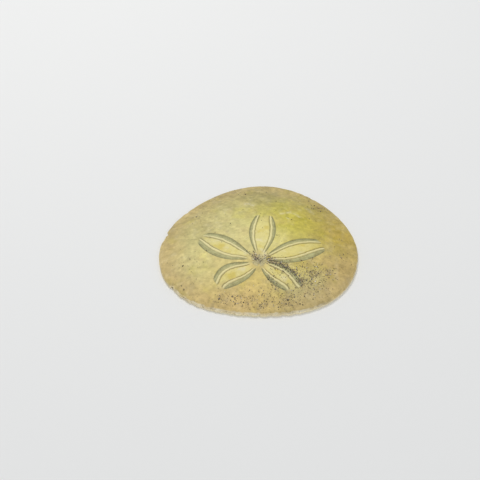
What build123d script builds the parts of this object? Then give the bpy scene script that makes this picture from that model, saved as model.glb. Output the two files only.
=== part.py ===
"""A sand dollar: the flat, dome-topped skeleton of a burrowing sea urchin, about 80 mm wide.

The skeleton (the test) is a hollow disc built from rows of thin stony plates. Five petals of
narrow pore plates spread over the roof from the crown. Five rays and the five gaps between them
run from the crown, round the thin rim, to the mouth in the middle of the floor. Each ray and each
gap is two columns of plates that meet in a zigzag seam. Inside, over the mouth, sit the five jaws
of the chewing lantern, each rocking on a ridge of the mouth ring.

Units are millimetres. +Z is up, +Y is the front and the origin is the middle of the base.
An angle is measured from the front, anticlockwise seen from above. A plan point is (x, y).
A level is 0 at the dome's peak and 1 on the outline, and a line of equal level is a shrunk copy
of the outline. A reach is a distance from the crown. A row of plates counts as two half rows.
"""

from build123d import *
import math
import os

# Outline: a mean radius and its waves, each (waves round the outline, cosine part, sine part).
MEAN_RADIUS = 39.33
OUTLINE_WAVES = ((2, -0.56, -0.52), (3, 1.40, -0.05), (5, 0.23, 0.0))

# Section through the test.
HEIGHT = 9.5
PEAK_OFFSET = (0.0, -4.0)  # the dome's peak from the middle of the outline
DOME_POWER = 2.2
LIP_TOP = 1.6  # height of the roof where the rim starts to round over
SEAM_HEIGHT = 0.9  # the rim's sharpest line, where roof plates meet floor plates
LIP_START = 0.965  # level at which the rim starts to round over
SOLID_START = 0.86  # level outside which the test is solid
ROOF_THICKNESS = 1.3
HOLLOW_DEPTH = 0.6  # how far the floor rises round the mouth
HOLLOW_RADIUS = 14.0
RIM_LEVELS = (SOLID_START, 0.92, LIP_START, 0.985, 0.996, 1.0)
RIM_STEP = 4.0  # degrees between the points of a rim plate
FACET_SIZE = 3.2  # longest edge of a roof plate's facets outside the petals
ROOF_RINGS = 2  # bands of facets from such a plate's edge to its hub
HUB_CLEARANCE = 0.05  # of a plate's hub from the lines of its edges
SEARCH_STEPS = 60  # of each search by repeated steps
FARTHEST_REACH = 70.0  # from the crown, past any point of the outline
SAME_REACH = 1e-6

# Crown and petals.
CROWN = (0.9, -16.4)
CROWN_PLATE_REACH = 1.8
EYE_PLATE_REACH = 2.9
PETAL_SWEEP = 2.6  # radians of a sine wave that a petal's edge follows from crown to tip
PORE_PLATE_PITCH = 1.25
# Each ray: angle, petal length, then half width and fullness of the petal's left and right halves.
RAYS = {
    "front": (-0.8, 28.2, (5.6, 1.05), (5.8, 1.00)),
    "left": (59.0, 27.5, (8.0, 1.03), (4.4, 1.35)),
    "rear_left": (126.8, 19.3, (5.6, 0.77), (6.5, 1.43)),
    "rear_right": (235.4, 19.2, (5.4, 1.16), (5.6, 0.87)),
    "right": (299.2, 28.0, (5.5, 1.20), (6.9, 0.95)),
}
RAY_NAMES = list(RAYS)
GAP_NAMES = ["front_left", "side_left", "rear", "side_right", "front_right"]
RAY_SHARE_AT_RIM = 0.56  # of the angle between two rays, the part that the rays take at the rim
MAX_RAY_SHARE = 0.47  # the most of that angle that one petal half may take near the crown
ROW_LENGTH = 4.8  # length of a plate along its column
ZIGZAG = 0.13  # a zigzag seam's swing, as a part of the column's width
GENITAL_PORE_RADIUS = 0.2
GENITAL_PORE_REACH = 1.15

# Pores of a pore plate: a slit near the petal's edge and a short pore further in.
SLIT_LENGTH, PORE_LENGTH, PORE_WIDTH = 0.9, 0.35, 0.22
SLIT_INSET = 0.75
PORE_INSETS = {"front": 2.1, "left": 2.8, "rear_left": 2.8, "rear_right": 2.8, "right": 2.8}

# Floor.
MOUTH = (0.5, -3.0)
MOUTH_RADIUS = 2.5
MOUTH_RING_RADIUS = 6.4
RAY_TURN = 360 / len(RAY_NAMES)  # the rays are evenly spread round the mouth
RING_GAP_HALF_ANGLE = 15.5  # half the angle of a gap's mouth plate
FLOOR_ROW_LENGTH = 6.5
VENT = (0.5, -31.0)
VENT_RADII = (1.2, 1.0)
VENT_SIDES = 12
GROOVE_DEPTH, GROOVE_WIDTH = 0.35, 0.9
GROOVE_TRUNK = 9.0  # from the middle of the mouth to the groove's fork
GROOVE_BEND = (0.45, 0.55)  # a branch's bend: part of the way to the rim, and of the way to the seam
GROOVE_END = (1.0, 0.5)
GROOVE_OVERRUN = 0.5  # how far a groove runs on into the mouth

# Pillars that tie roof and floor together inside the rim.
PILLAR_LEVELS = (0.68, 0.79)
PILLARS_PER_LEVEL = 20
PILLAR_RADII = (0.85, 0.6)  # at the floor and at the roof
PILLAR_GAP = 0.04

# Jaws. Each is drawn pointing along +X from the mouth's middle, with its left half at +Y.
PIVOT_REACH, PIVOT_HEIGHT = 5.0, 3.0
RIDGE_RADIUS = 0.45
RIDGE_WIDTH = 2.2
SOCKET_RADIUS = 0.50
JAW_TOP = 5.4  # height of a jaw's flat top
JAW_HALF_PLAN = (
    (1.7, 0), (2.3, 0.85), (4.5, 2.4), (7.3, 4.5), (8.7, 4.1), (8.1, 2.3), (8.6, 1.0), (8.2, 0),
)
JAW_PROFILE = (
    (1.7, 2.2), (3.4, 2.6), (3.7, 3.0), (6.4, 3.0), (8.4, 3.9), (8.9, 4.6),
    (8.9, 5.7), (8.0, 6.1), (6.6, JAW_TOP), (4.2, JAW_TOP), (3.0, 4.4), (1.7, 3.5),
)
TOOTH_PROFILE = ((0.7, 1.3), (2.5, 2.75), (8.5, 4.75), (8.5, 5.5), (2.1, 3.3), (0.7, 1.5))
TOOTH_WIDTH = 0.84
TOOTH_CLEARANCE = 0.04
COMB_GROOVES = 6
COMB_START = -0.49  # from the flank's inner corner to the first groove
COMB_PITCH, COMB_WIDTH, COMB_DEPTH = 0.75, 0.2, 0.45
CAP_SIZE = (1.8, 1.0, 0.4)  # an epiphysis: a cap plate on top of a jaw half
CAP_MIDDLE = (5.6, 1.35)  # along the line between two jaws, and off it
LINK_SIZE = (2.0, 1.9, 0.4)  # a rotula: the link plate that lies over the line between two jaws
LINK_MIDDLE = (5.6, 0.7)
CUT_REACH = 20.0  # longer than anything that a cutting tool has to pass through


# ---------------------------------------------------------------- plan geometry

def step(start, angle, distance):
    """The plan point at a distance from start in the direction of angle, in degrees."""
    a = math.radians(angle)
    return (start[0] - distance * math.sin(a), start[1] + distance * math.cos(a))


def outline_radius(angle):
    a = math.radians(angle)
    return MEAN_RADIUS + sum(c * math.cos(n * a) + s * math.sin(n * a) for n, c, s in OUTLINE_WAVES)


def middle_of_outline():
    """Where the radius is measured from, so that the outline's box is centred on the origin."""
    around = [step((0, 0), 0.5 * i, outline_radius(0.5 * i)) for i in range(720)]
    xs, ys = zip(*around)
    return (-(max(xs) + min(xs)) / 2, -(max(ys) + min(ys)) / 2)


CENTRE = middle_of_outline()


def level_point(level, angle):
    """The plan point on the line of equal level, in the direction of angle from that line's own middle."""
    middle = (CENTRE[0] + (1 - level) * PEAK_OFFSET[0], CENTRE[1] + (1 - level) * PEAK_OFFSET[1])
    return step(middle, angle, level * outline_radius(angle))


def level_and_angle(point):
    """The inverse of level_point, found by repeated substitution."""
    level = angle = 0.0
    for _ in range(SEARCH_STEPS):
        x = point[0] - CENTRE[0] - (1 - level) * PEAK_OFFSET[0]
        y = point[1] - CENTRE[1] - (1 - level) * PEAK_OFFSET[1]
        angle = math.degrees(math.atan2(-x, y))
        level = math.hypot(x, y) / outline_radius(angle)
    return level, angle % 360


def rounding(level):
    """1 inside the rim, falling to 0 at the outline along a quarter ellipse."""
    past = max(0.0, level - LIP_START) / (1 - LIP_START)
    return math.sqrt(max(0.0, 1 - past * past))


def roof(point):
    """Height of the roof's outer skin."""
    level = min(1.0, level_and_angle(point)[0])
    dome = LIP_TOP + (HEIGHT - LIP_TOP) * (1 - level**DOME_POWER)
    return SEAM_HEIGHT + (dome - SEAM_HEIGHT) * rounding(level)


def ceiling(point):
    return roof(point) - ROOF_THICKNESS


def hollow(point):
    """How far the floor rises at a plan point."""
    away = math.hypot(point[0] - MOUTH[0], point[1] - MOUTH[1]) / HOLLOW_RADIUS
    return HOLLOW_DEPTH * max(0.0, 1 - away * away) ** 2


def underside(point):
    """Height of the floor's outer skin."""
    level = min(1.0, level_and_angle(point)[0])
    return hollow(point) + SEAM_HEIGHT * (1 - rounding(level))


def floor_inside(point):
    return SEAM_HEIGHT + hollow(point)


def seam_height(point):
    return SEAM_HEIGHT


# ---------------------------------------------------------------- seams between rays and gaps

def neighbour_angle(index, side):
    """The angle between ray number index and the next ray on its left (side 1) or right (side -1)."""
    here, there = RAYS[RAY_NAMES[index]][0], RAYS[RAY_NAMES[(index + side) % len(RAY_NAMES)]][0]
    return (side * (there - here)) % 360


def reach_to_level(angle_at, level):
    """Distance from the crown at which a line, given by its angle at each distance, reaches a level."""
    low, high = 1.0, FARTHEST_REACH
    for _ in range(SEARCH_STEPS):
        middle = (low + high) / 2
        if level_and_angle(step(CROWN, angle_at(middle), middle))[0] < level:
            low = middle
        else:
            high = middle
    return (low + high) / 2


def half_width_angle(index, side, reach):
    """Half the angle, seen from the crown, that a ray covers on one side at a distance from the crown."""
    _, length, left, right = RAYS[RAY_NAMES[index]]
    width, fullness = left if side > 0 else right
    between = neighbour_angle(index, side)
    inside = min(reach, length)
    across = width * math.sin(PETAL_SWEEP * (inside / length) ** fullness)
    spread = min(math.degrees(math.atan2(across, inside)), MAX_RAY_SHARE * between)
    if reach > length:
        rim = RIM_REACH[index]
        beyond = min(1.0, (reach - length) / (rim - length))
        spread += (RAY_SHARE_AT_RIM * between / 2 - spread) * beyond
    return spread


RIM_REACH = [reach_to_level(lambda _, a=RAYS[name][0]: a, SOLID_START) for name in RAY_NAMES]


def seam_angle(index, side, reach):
    """Angle from the crown of the seam on one side of a ray."""
    return RAYS[RAY_NAMES[index]][0] + side * half_width_angle(index, side, reach)


class Line:
    """A seam or a column's middle line on the roof, from the crown to the solid rim."""

    def __init__(self, angle_at):
        self.angle_at = angle_at
        self.end = reach_to_level(angle_at, SOLID_START)
        self.rim_angle = level_and_angle(self.at(self.end))[1]
        self.knots = set()

    def at(self, reach, swing=0.0):
        return step(CROWN, self.angle_at(reach) + swing, reach)


LEFT_SEAMS = [Line(lambda r, i=i: seam_angle(i, 1, r)) for i in range(len(RAY_NAMES))]
RIGHT_SEAMS = [Line(lambda r, i=i: seam_angle(i, -1, r)) for i in range(len(RAY_NAMES))]
RAY_MIDDLES = [Line(lambda r, a=RAYS[name][0]: a) for name in RAY_NAMES]


def gap_middle(index):
    """The middle line of the gap on the left of ray number index."""
    def angle_at(reach):
        start = seam_angle(index, 1, reach)
        after = (index + 1) % len(RAY_NAMES)
        return start + ((seam_angle(after, -1, reach) - start) % 360) / 2
    return Line(angle_at)


GAP_MIDDLES = [gap_middle(i) for i in range(len(GAP_NAMES))]


# ---------------------------------------------------------------- rows of plates

def staggered_rows(rows):
    """Row ends of the left and the right column, in half rows. The right one is half a row out of step."""
    left = list(range(0, 2 * rows + 1, 2))
    right = [0, *range(3, 2 * rows - 2, 2), 2 * rows]
    return left, right


def along(start, end, half_row, rows):
    return start + (end - start) * half_row / (2 * rows)


def zigzag(middle, left, right, reach, half_row, rows):
    """A point of the zigzag seam between the two columns of a zone."""
    if half_row in (0, 2 * rows):
        return middle.at(reach)
    width = (left.angle_at(reach) - right.angle_at(reach)) % 360
    return middle.at(reach, ZIGZAG * width / 2 * (1 if half_row % 2 == 0 else -1))


def rim_arc(level, start, end):
    """Points along a line of equal level, from one rim angle to another, at most RIM_STEP apart."""
    turn = (end - start + 180) % 360 - 180
    steps = max(2, math.ceil(abs(turn) / RIM_STEP))
    return [level_point(level, start + turn * i / steps) for i in range(steps + 1)]


def column_plans(zone, side, row_ends, rows, starts, ends):
    """Plan outlines of one column's plates, from the reach in starts to that in ends.

    Both hold a reach for the left seam (1), the middle line (0) and the right seam (-1).
    """
    left, middle, right = zone
    edge = left if side > 0 else right
    edge_start, edge_end = starts[side], ends[side]
    plans = []
    for low, high in zip(row_ends, row_ends[1:]):
        near = along(edge_start, edge_end, low, rows)
        far = along(edge_start, edge_end, high, rows)
        knots = [k for k in sorted(edge.knots) if near + SAME_REACH < k < far - SAME_REACH]
        plan = [edge.at(k) for k in (near, *knots, far)]
        inner = [
            zigzag(middle, left, right, along(starts[0], ends[0], half, rows), half, rows)
            for half in range(high, low - 1, -1)
        ]
        if high == 2 * rows and edge_end == edge.end:
            plan += rim_arc(SOLID_START, edge.rim_angle, middle.rim_angle)[1:-1]
        plans.append(plan + inner)
    return plans


def add_knots(edge, start, end, row_ends, rows):
    """Marks where a column's rows end on its seam, so that the plates across it share those corners."""
    edge.knots.update(along(start, end, half, rows) for half in row_ends)


# ---------------------------------------------------------------- solids

def solid_from(polygons):
    """A closed solid from flat polygons, each a list of 3D points."""
    faces = [Face(Wire.make_polygon([Vector(*p) for p in polygon], close=True)) for polygon in polygons]
    return Solid(Shell(faces))


def subdivided(plan, spacing):
    """The same plan outline with extra points on every edge longer than spacing."""
    points = []
    for start, end in zip(plan, plan[1:] + plan[:1]):
        pieces = max(1, math.ceil(math.dist(start, end) / spacing))
        for k in range(pieces):
            points.append(tuple(a + (b - a) * k / pieces for a, b in zip(start, end)))
    return points


def hub_of(plan):
    """A point with every edge of the plan in plain view, found by stepping away from edges that are not."""
    x, y = (sum(axis) / len(plan) for axis in zip(*plan))
    edges = list(zip(plan, plan[1:] + plan[:1]))
    turn = math.copysign(1, sum(a[0] * b[1] - b[0] * a[1] for a, b in edges))
    for _ in range(SEARCH_STEPS):
        for start, end in edges:
            length = math.dist(start, end)
            across = (turn * (start[1] - end[1]) / length, turn * (end[0] - start[0]) / length)
            short = HUB_CLEARANCE - (x - start[0]) * across[0] - (y - start[1]) * across[1]
            x, y = x + max(0.0, short) * across[0], y + max(0.0, short) * across[1]
    return (x, y)


def skin_facets(plan, height, rings):
    """Triangles that cover a plan at a height: bands of outlines shrunk towards a hub, then a fan."""
    hub = hub_of(plan)
    bands = []
    for k in range(rings):
        shrunk = [tuple(c + (h - c) * k / rings for c, h in zip(point, hub)) for point in plan]
        bands.append([(*p, height(p)) for p in shrunk])
    peak = (*hub, height(hub))
    facets = []
    for i in range(len(plan)):
        j = (i + 1) % len(plan)
        for outer, inner in zip(bands, bands[1:]):
            facets += [[outer[i], outer[j], inner[j]], [outer[i], inner[j], inner[i]]]
        facets.append([bands[-1][i], bands[-1][j], peak])
    return facets


def plate(plan, top, bottom, rings=1):
    """One plate: its plan between two skins of flat facets. More rings follow a domed skin closely."""
    if rings > 1:
        plan = subdivided(plan, FACET_SIZE)
    polygons = skin_facets(plan, top, rings) + skin_facets(plan, bottom, rings)
    for start, end in zip(plan, plan[1:] + plan[:1]):
        low = [(*start, bottom(start)), (*end, bottom(end))]
        high = [(*end, top(end)), (*start, top(start))]
        polygons.append(low + high)
    return solid_from(polygons)


def rim_plate(start, end, skin):
    """One solid plate of the rim, between two rim angles, from the seam's flat plane to a skin."""
    rings = [rim_arc(level, start, end) for level in RIM_LEVELS]
    columns = len(rings[0])
    outer = [[(*p, skin(p)) for p in ring] for ring in rings[:-1]]
    outer.append([(*p, SEAM_HEIGHT) for p in rings[-1]])
    flat = [[(*p, SEAM_HEIGHT) for p in ring] for ring in rings]
    polygons = []
    for near, far in zip(outer, outer[1:]):
        for i in range(columns - 1):
            polygons.append([near[i], far[i], far[i + 1]])
            polygons.append([near[i], far[i + 1], near[i + 1]])
    border = [ring[0] for ring in flat] + flat[-1][1:] + [ring[-1] for ring in flat[-2::-1]]
    polygons.append(border + flat[0][-2:0:-1])
    for i in range(columns - 1):
        polygons.append([flat[0][i], outer[0][i], outer[0][i + 1], flat[0][i + 1]])
    for i in (0, -1):
        polygons.append([ring[i] for ring in outer] + [ring[i] for ring in flat[-2::-1]])
    return solid_from(polygons)


def turned(solid, angle):
    """Turns a solid drawn along +X from the mouth's middle so that it points along angle from the front."""
    return Pos(*MOUTH, 0) * Rot(0, 0, angle + 90) * solid


# ---------------------------------------------------------------- roof

def pore_cutter(edge_point, inward, inset, length):
    """A narrow upright slot, across a pore plate, at a distance in from the petal's edge."""
    x = edge_point[0] + inward[0] * inset
    y = edge_point[1] + inward[1] * inset
    turn = math.degrees(math.atan2(inward[1], inward[0]))
    return Pos(x, y, HEIGHT / 2) * Rot(0, 0, turn) * Box(length, PORE_WIDTH, CUT_REACH)


def with_pores(solid, edge, middle, near, far, inset):
    """A pore plate with its slit and its inner pore cut through."""
    reach = (near + far) / 2
    start, end = edge.at(reach), middle.at(reach)
    across = math.dist(start, end)
    inward = ((end[0] - start[0]) / across, (end[1] - start[1]) / across)
    share = min(1.0, across / (inset + 2 * PORE_LENGTH))
    cutters = [
        pore_cutter(start, inward, SLIT_INSET * share, SLIT_LENGTH * share),
        pore_cutter(start, inward, inset * share, PORE_LENGTH),
    ]
    return solid - cutters


def mark_roof_knots():
    """Works out every row of the roof, and marks the rows' ends on the seams."""
    layout = {}
    for i, name in enumerate(RAY_NAMES):
        length = RAYS[name][1]
        zone = (LEFT_SEAMS[i], RAY_MIDDLES[i], RIGHT_SEAMS[i])
        ends = {1: zone[0].end, 0: zone[1].end, -1: zone[2].end}
        eye = dict.fromkeys((1, 0, -1), EYE_PLATE_REACH)
        tip = dict.fromkeys((1, 0, -1), length)
        pore_rows = round((length - EYE_PLATE_REACH) / PORE_PLATE_PITCH)
        far_rows = max(1, round((zone[1].end - length) / ROW_LENGTH))
        layout["petal", i] = (zone, pore_rows, eye, tip)
        layout["ray", i] = (zone, far_rows, tip, ends)
        before = GAP_MIDDLES[i], RIGHT_SEAMS[(i + 1) % len(RAY_NAMES)]
        gap = (before[1], before[0], LEFT_SEAMS[i])
        starts = dict.fromkeys((1, 0, -1), CROWN_PLATE_REACH)
        ends = {1: gap[0].end, 0: gap[1].end, -1: gap[2].end}
        layout["gap", i] = (gap, max(2, round((gap[1].end - CROWN_PLATE_REACH) / ROW_LENGTH)), starts, ends)
        for edge in (zone[0], zone[2]):
            edge.knots.update((CROWN_PLATE_REACH, EYE_PLATE_REACH))
    for (_, _), (zone, rows, starts, ends) in layout.items():
        for side, row_ends in zip((1, -1), staggered_rows(rows)):
            edge = zone[0] if side > 0 else zone[2]
            add_knots(edge, starts[side], ends[side], row_ends, rows)
    return layout


def zone_plates(zone, rows, starts, ends, rings=1):
    """Both columns of one stretch of a zone, as (side, near half row, far half row, solid)."""
    made = []
    for side, row_ends in zip((1, -1), staggered_rows(rows)):
        plans = column_plans(zone, side, row_ends, rows, starts, ends)
        for plan, low, high in zip(plans, row_ends, row_ends[1:]):
            made.append((side, low, high, plate(plan, roof, ceiling, rings)))
    return made


def petal(index, layout):
    zone, rows, starts, ends = layout["petal", index]
    solids = []
    for side, low, high, solid in zone_plates(zone, rows, starts, ends):
        edge = zone[0] if side > 0 else zone[2]
        near = along(starts[side], ends[side], low, rows)
        far = along(starts[side], ends[side], high, rows)
        solids.append(with_pores(solid, edge, zone[1], near, far, PORE_INSETS[RAY_NAMES[index]]))
    return solids


def rim_pair(zone, skin):
    """The two rim plates of a zone, one on each side of its middle line."""
    left, middle, right = (line.rim_angle for line in zone)
    return [rim_plate(middle, left, skin), rim_plate(right, middle, skin)]


def crown_ring():
    """The seams round the crown plate, in order, with the ray or gap that lies after each."""
    ring = []
    for i in range(len(RAY_NAMES)):
        ring += [RIGHT_SEAMS[i], LEFT_SEAMS[i]]
    return ring


def crown_plate():
    """The sieve plate in the middle of the petals, with its four genital pores."""
    solid = plate([seam.at(CROWN_PLATE_REACH) for seam in crown_ring()], roof, ceiling)
    pores = [
        Pos(*step(CROWN, GAP_MIDDLES[i].angle_at(CROWN_PLATE_REACH), GENITAL_PORE_REACH), HEIGHT / 2)
        * Cylinder(GENITAL_PORE_RADIUS, CUT_REACH)
        for i, name in enumerate(GAP_NAMES)
        if name != "rear"
    ]
    return [solid - pores]


def eye_plates():
    """The five small plates between the crown plate and the petals."""
    plates = []
    for left, middle, right in zip(LEFT_SEAMS, RAY_MIDDLES, RIGHT_SEAMS):
        inner = [right.at(CROWN_PLATE_REACH), left.at(CROWN_PLATE_REACH)]
        outer = [left.at(EYE_PLATE_REACH), middle.at(EYE_PLATE_REACH), right.at(EYE_PLATE_REACH)]
        plates.append(plate(inner + outer, roof, ceiling))
    return plates


# ---------------------------------------------------------------- floor

class FloorLine:
    """A straight seam or middle line on the floor, from the mouth ring to the solid rim."""

    def __init__(self, ring_angle, rim_angle, ring_radius=MOUTH_RING_RADIUS):
        self.start = step(MOUTH, ring_angle, ring_radius)
        self.finish = level_point(SOLID_START, rim_angle)
        self.ring_angle, self.rim_angle = ring_angle, rim_angle

    def at(self, part, toward=None, swing=0.0):
        x = self.start[0] + (self.finish[0] - self.start[0]) * part
        y = self.start[1] + (self.finish[1] - self.start[1]) * part
        if toward is not None:
            there = toward.at(part)
            x, y = x + (there[0] - x) * swing, y + (there[1] - y) * swing
        return (x, y)


def floor_lines(shift, roof_lines):
    """One floor line for each roof line, which it meets at the rim, shifted in angle round the mouth."""
    return [FloorLine(RAY_TURN * i + shift, line.rim_angle) for i, line in enumerate(roof_lines)]


def floor_zones():
    """Each floor zone's left seam, middle line and right seam: the rays first, then the gaps."""
    ray_half = RAY_TURN / 2 - RING_GAP_HALF_ANGLE
    lefts, rights = floor_lines(ray_half, LEFT_SEAMS), floor_lines(-ray_half, RIGHT_SEAMS)
    rays = list(zip(lefts, floor_lines(0, RAY_MIDDLES), rights))
    gaps = list(zip(rights[1:] + rights[:1], floor_lines(RAY_TURN / 2, GAP_MIDDLES), lefts))
    return rays, gaps


def floor_column(zone, side, row_ends, rows):
    left, middle, right = zone
    edge = left if side > 0 else right
    solids = []
    for low, high in zip(row_ends, row_ends[1:]):
        plan = [edge.at(low / (2 * rows)), edge.at(high / (2 * rows))]
        if high == 2 * rows:
            plan += rim_arc(SOLID_START, edge.rim_angle, middle.rim_angle)[1:-1]
        for half in range(high, low - 1, -1):
            swing = 0.0 if half in (0, 2 * rows) else ZIGZAG
            plan.append(middle.at(half / (2 * rows), left if half % 2 == 0 else right, swing))
        solids.append(plate(plan, floor_inside, underside))
    return solids


def groove_segment(start, end):
    """A ridge-topped cutter for one straight stretch of a food groove, along the underside."""
    length = math.dist(start, end)
    turn = math.degrees(math.atan2(end[1] - start[1], end[0] - start[0]))
    below = -CUT_REACH
    half = GROOVE_WIDTH / 2
    front, back = (
        [(x, -half, below), (x, half, below), (x, half, skin), (x, 0, skin + GROOVE_DEPTH), (x, -half, skin)]
        for x, skin in ((0, underside(start)), (length, underside(end)))
    )
    polygons = [front, back]
    for i in range(len(front)):
        j = (i + 1) % len(front)
        polygons.append([front[i], front[j], back[j], back[i]])
    return Pos(*start, 0) * Rot(0, 0, turn) * solid_from(polygons)


def food_groove(zone):
    """The trunk from the mouth along a ray's middle, and its two branches towards the rim."""
    left, middle, right = zone
    mouth = step(MOUTH, middle.ring_angle, MOUTH_RADIUS - GROOVE_OVERRUN)
    fork = step(MOUTH, middle.ring_angle, GROOVE_TRUNK)
    cutters = [groove_segment(mouth, fork)]
    for edge in (left, right):
        bend = middle.at(GROOVE_BEND[0], edge, GROOVE_BEND[1])
        end = middle.at(GROOVE_END[0], edge, GROOVE_END[1])
        cutters += [groove_segment(fork, bend), groove_segment(bend, end)]
    return cutters


def floor_ray(zone):
    rows = max(2, round(math.dist(zone[1].start, zone[1].finish) / FLOOR_ROW_LENGTH))
    cutters = food_groove(zone)
    solids = []
    for side, row_ends in zip((1, -1), staggered_rows(rows)):
        solids += [solid - cutters for solid in floor_column(zone, side, row_ends, rows)]
    return solids + rim_pair(zone, underside)


def vent_cutter():
    """An oval upright prism for the vent, which opens through the rear gap's floor."""
    ring = [
        (VENT[0] + VENT_RADII[0] * math.cos(2 * math.pi * i / VENT_SIDES),
         VENT[1] + VENT_RADII[1] * math.sin(2 * math.pi * i / VENT_SIDES))
        for i in range(VENT_SIDES)
    ]
    return plate(ring, lambda _: CUT_REACH, lambda _: -CUT_REACH)


def floor_gap(zone, has_vent):
    rows = max(2, round(math.dist(zone[1].start, zone[1].finish) / FLOOR_ROW_LENGTH))
    solids = []
    for side, row_ends in zip((1, -1), staggered_rows(rows)):
        solids += floor_column(zone, side, row_ends, rows)
    if has_vent:
        solids = [solid - vent_cutter() for solid in solids]
    return solids + rim_pair(zone, underside)


def ring_point(angle, radius):
    return step(MOUTH, angle, radius)


def mouth_ray_plates(rays):
    """The ten ray plates of the mouth ring, two to a ray, with the food grooves' inner ends."""
    solids = []
    for left, middle, right in rays:
        cutters = food_groove((left, middle, right))
        for edge in (left, right):
            plan = [
                ring_point(edge.ring_angle, MOUTH_RADIUS), edge.start, middle.start,
                ring_point(middle.ring_angle, MOUTH_RADIUS),
            ]
            solids.append(plate(plan, floor_inside, underside) - cutters)
    return solids


def ridge():
    """The ridge (auricle) that a jaw rocks on, drawn along +X from the mouth's middle."""
    foot = SEAM_HEIGHT + HOLLOW_DEPTH / 2
    wall = Box(2 * RIDGE_RADIUS, RIDGE_WIDTH, PIVOT_HEIGHT - foot)
    crest = Rot(90, 0, 0) * Cylinder(RIDGE_RADIUS, RIDGE_WIDTH)
    return Pos(PIVOT_REACH, 0, (foot + PIVOT_HEIGHT) / 2) * wall + Pos(PIVOT_REACH, 0, PIVOT_HEIGHT) * crest


def mouth_gap_plates(gaps):
    """The five gap plates of the mouth ring, each with the ridge for one jaw."""
    solids = []
    for left, middle, right in gaps:
        plan = [
            ring_point(left.ring_angle, MOUTH_RADIUS), left.start, middle.start, right.start,
            ring_point(right.ring_angle, MOUTH_RADIUS), ring_point(middle.ring_angle, MOUTH_RADIUS),
        ]
        solids.append(plate(plan, floor_inside, underside) + turned(ridge(), middle.ring_angle))
    return solids


def pillars():
    """Small tapered pillars between floor and roof, in two rings inside the rim."""
    solids = []
    for ring, level in enumerate(PILLAR_LEVELS):
        for i in range(PILLARS_PER_LEVEL):
            angle = 360 / PILLARS_PER_LEVEL * (i + 0.5 * ring)
            point = level_point(level, angle)
            around = [step(point, 45 * k, PILLAR_RADII[0]) for k in range(8)]
            top = min(ceiling(p) for p in around) - PILLAR_GAP
            foot = max(floor_inside(p) for p in [point, *around])
            post = Cone(*PILLAR_RADII, top - foot, align=(Align.CENTER, Align.CENTER, Align.MIN))
            solids.append(Pos(*point, foot) * post)
    return solids


# ---------------------------------------------------------------- jaws

def upright_slab(profile, width):
    """A side profile, given as (x, z) points, made width thick about the plane y = 0."""
    polygon = [(x, -width / 2, z) for x, z in profile]
    face = Face(Wire.make_polygon([Vector(*p) for p in polygon], close=True))
    return Solid.extrude(face, Vector(0, width, 0))


def tooth(clearance=0.0):
    grown = [(x + (clearance if x > 5 else -clearance), z) for x, z in TOOTH_PROFILE]
    if clearance:
        half = len(grown) // 2
        grown = [(x, z - clearance if i < half else z + clearance) for i, (x, z) in enumerate(grown)]
    return upright_slab(grown, TOOTH_WIDTH + 2 * clearance)


def comb_cutters(side):
    """Upright grooves along a jaw half's outer flank, where the muscles between two jaws are attached."""
    (x0, y0), (x1, y1) = JAW_HALF_PLAN[2], JAW_HALF_PLAN[3]
    turn = math.degrees(math.atan2(y1 - y0, x1 - x0))
    return [
        Pos(x0, side * y0, HEIGHT / 2) * Rot(0, 0, side * turn)
        * Pos(COMB_START + COMB_PITCH * i, 0, 0) * Box(COMB_WIDTH, 2 * COMB_DEPTH, CUT_REACH)
        for i in range(COMB_GROOVES)
    ]


def jaw_half(side):
    """One half pyramid of a jaw, less the tooth's slot, the ridge's socket and the comb."""
    plan = Face(Wire.make_polygon([Vector(x, side * y, 0) for x, y in JAW_HALF_PLAN], close=True))
    solid = Solid.extrude(plan, Vector(0, 0, HEIGHT)) & upright_slab(JAW_PROFILE, CUT_REACH)
    socket = Pos(PIVOT_REACH, 0, PIVOT_HEIGHT) * Rot(90, 0, 0) * Cylinder(SOCKET_RADIUS, CUT_REACH)
    return solid - [tooth(TOOTH_CLEARANCE), socket, *comb_cutters(side)]


def between_jaws(size, middle, side, foot):
    """A flat box set along the line between this jaw and the next on a side, off it towards this jaw."""
    box = Pos(middle[0], -side * middle[1], foot + size[2] / 2) * Box(*size)
    return Rot(0, 0, side * RAY_TURN / 2) * box


def cap_plates():
    """The two cap plates (epiphyses) that lie on a jaw's flat top."""
    return [between_jaws(CAP_SIZE, CAP_MIDDLE, side, JAW_TOP) for side in (1, -1)]


def link_plate():
    """The link plate (rotula) on a jaw's left cap plate, reaching over the line between two jaws."""
    return between_jaws(LINK_SIZE, LINK_MIDDLE, 1, JAW_TOP + CAP_SIZE[2])


def jaw(angle):
    """Every piece of one jaw, by name."""
    return {
        "jaw_left_half": [turned(jaw_half(1), angle)],
        "jaw_right_half": [turned(jaw_half(-1), angle)],
        "tooth": [turned(tooth(), angle)],
        "jaw_caps": [turned(cap, angle) for cap in cap_plates()],
        "jaw_link": [turned(link_plate(), angle)],
    }


# ---------------------------------------------------------------- assembly

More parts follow.
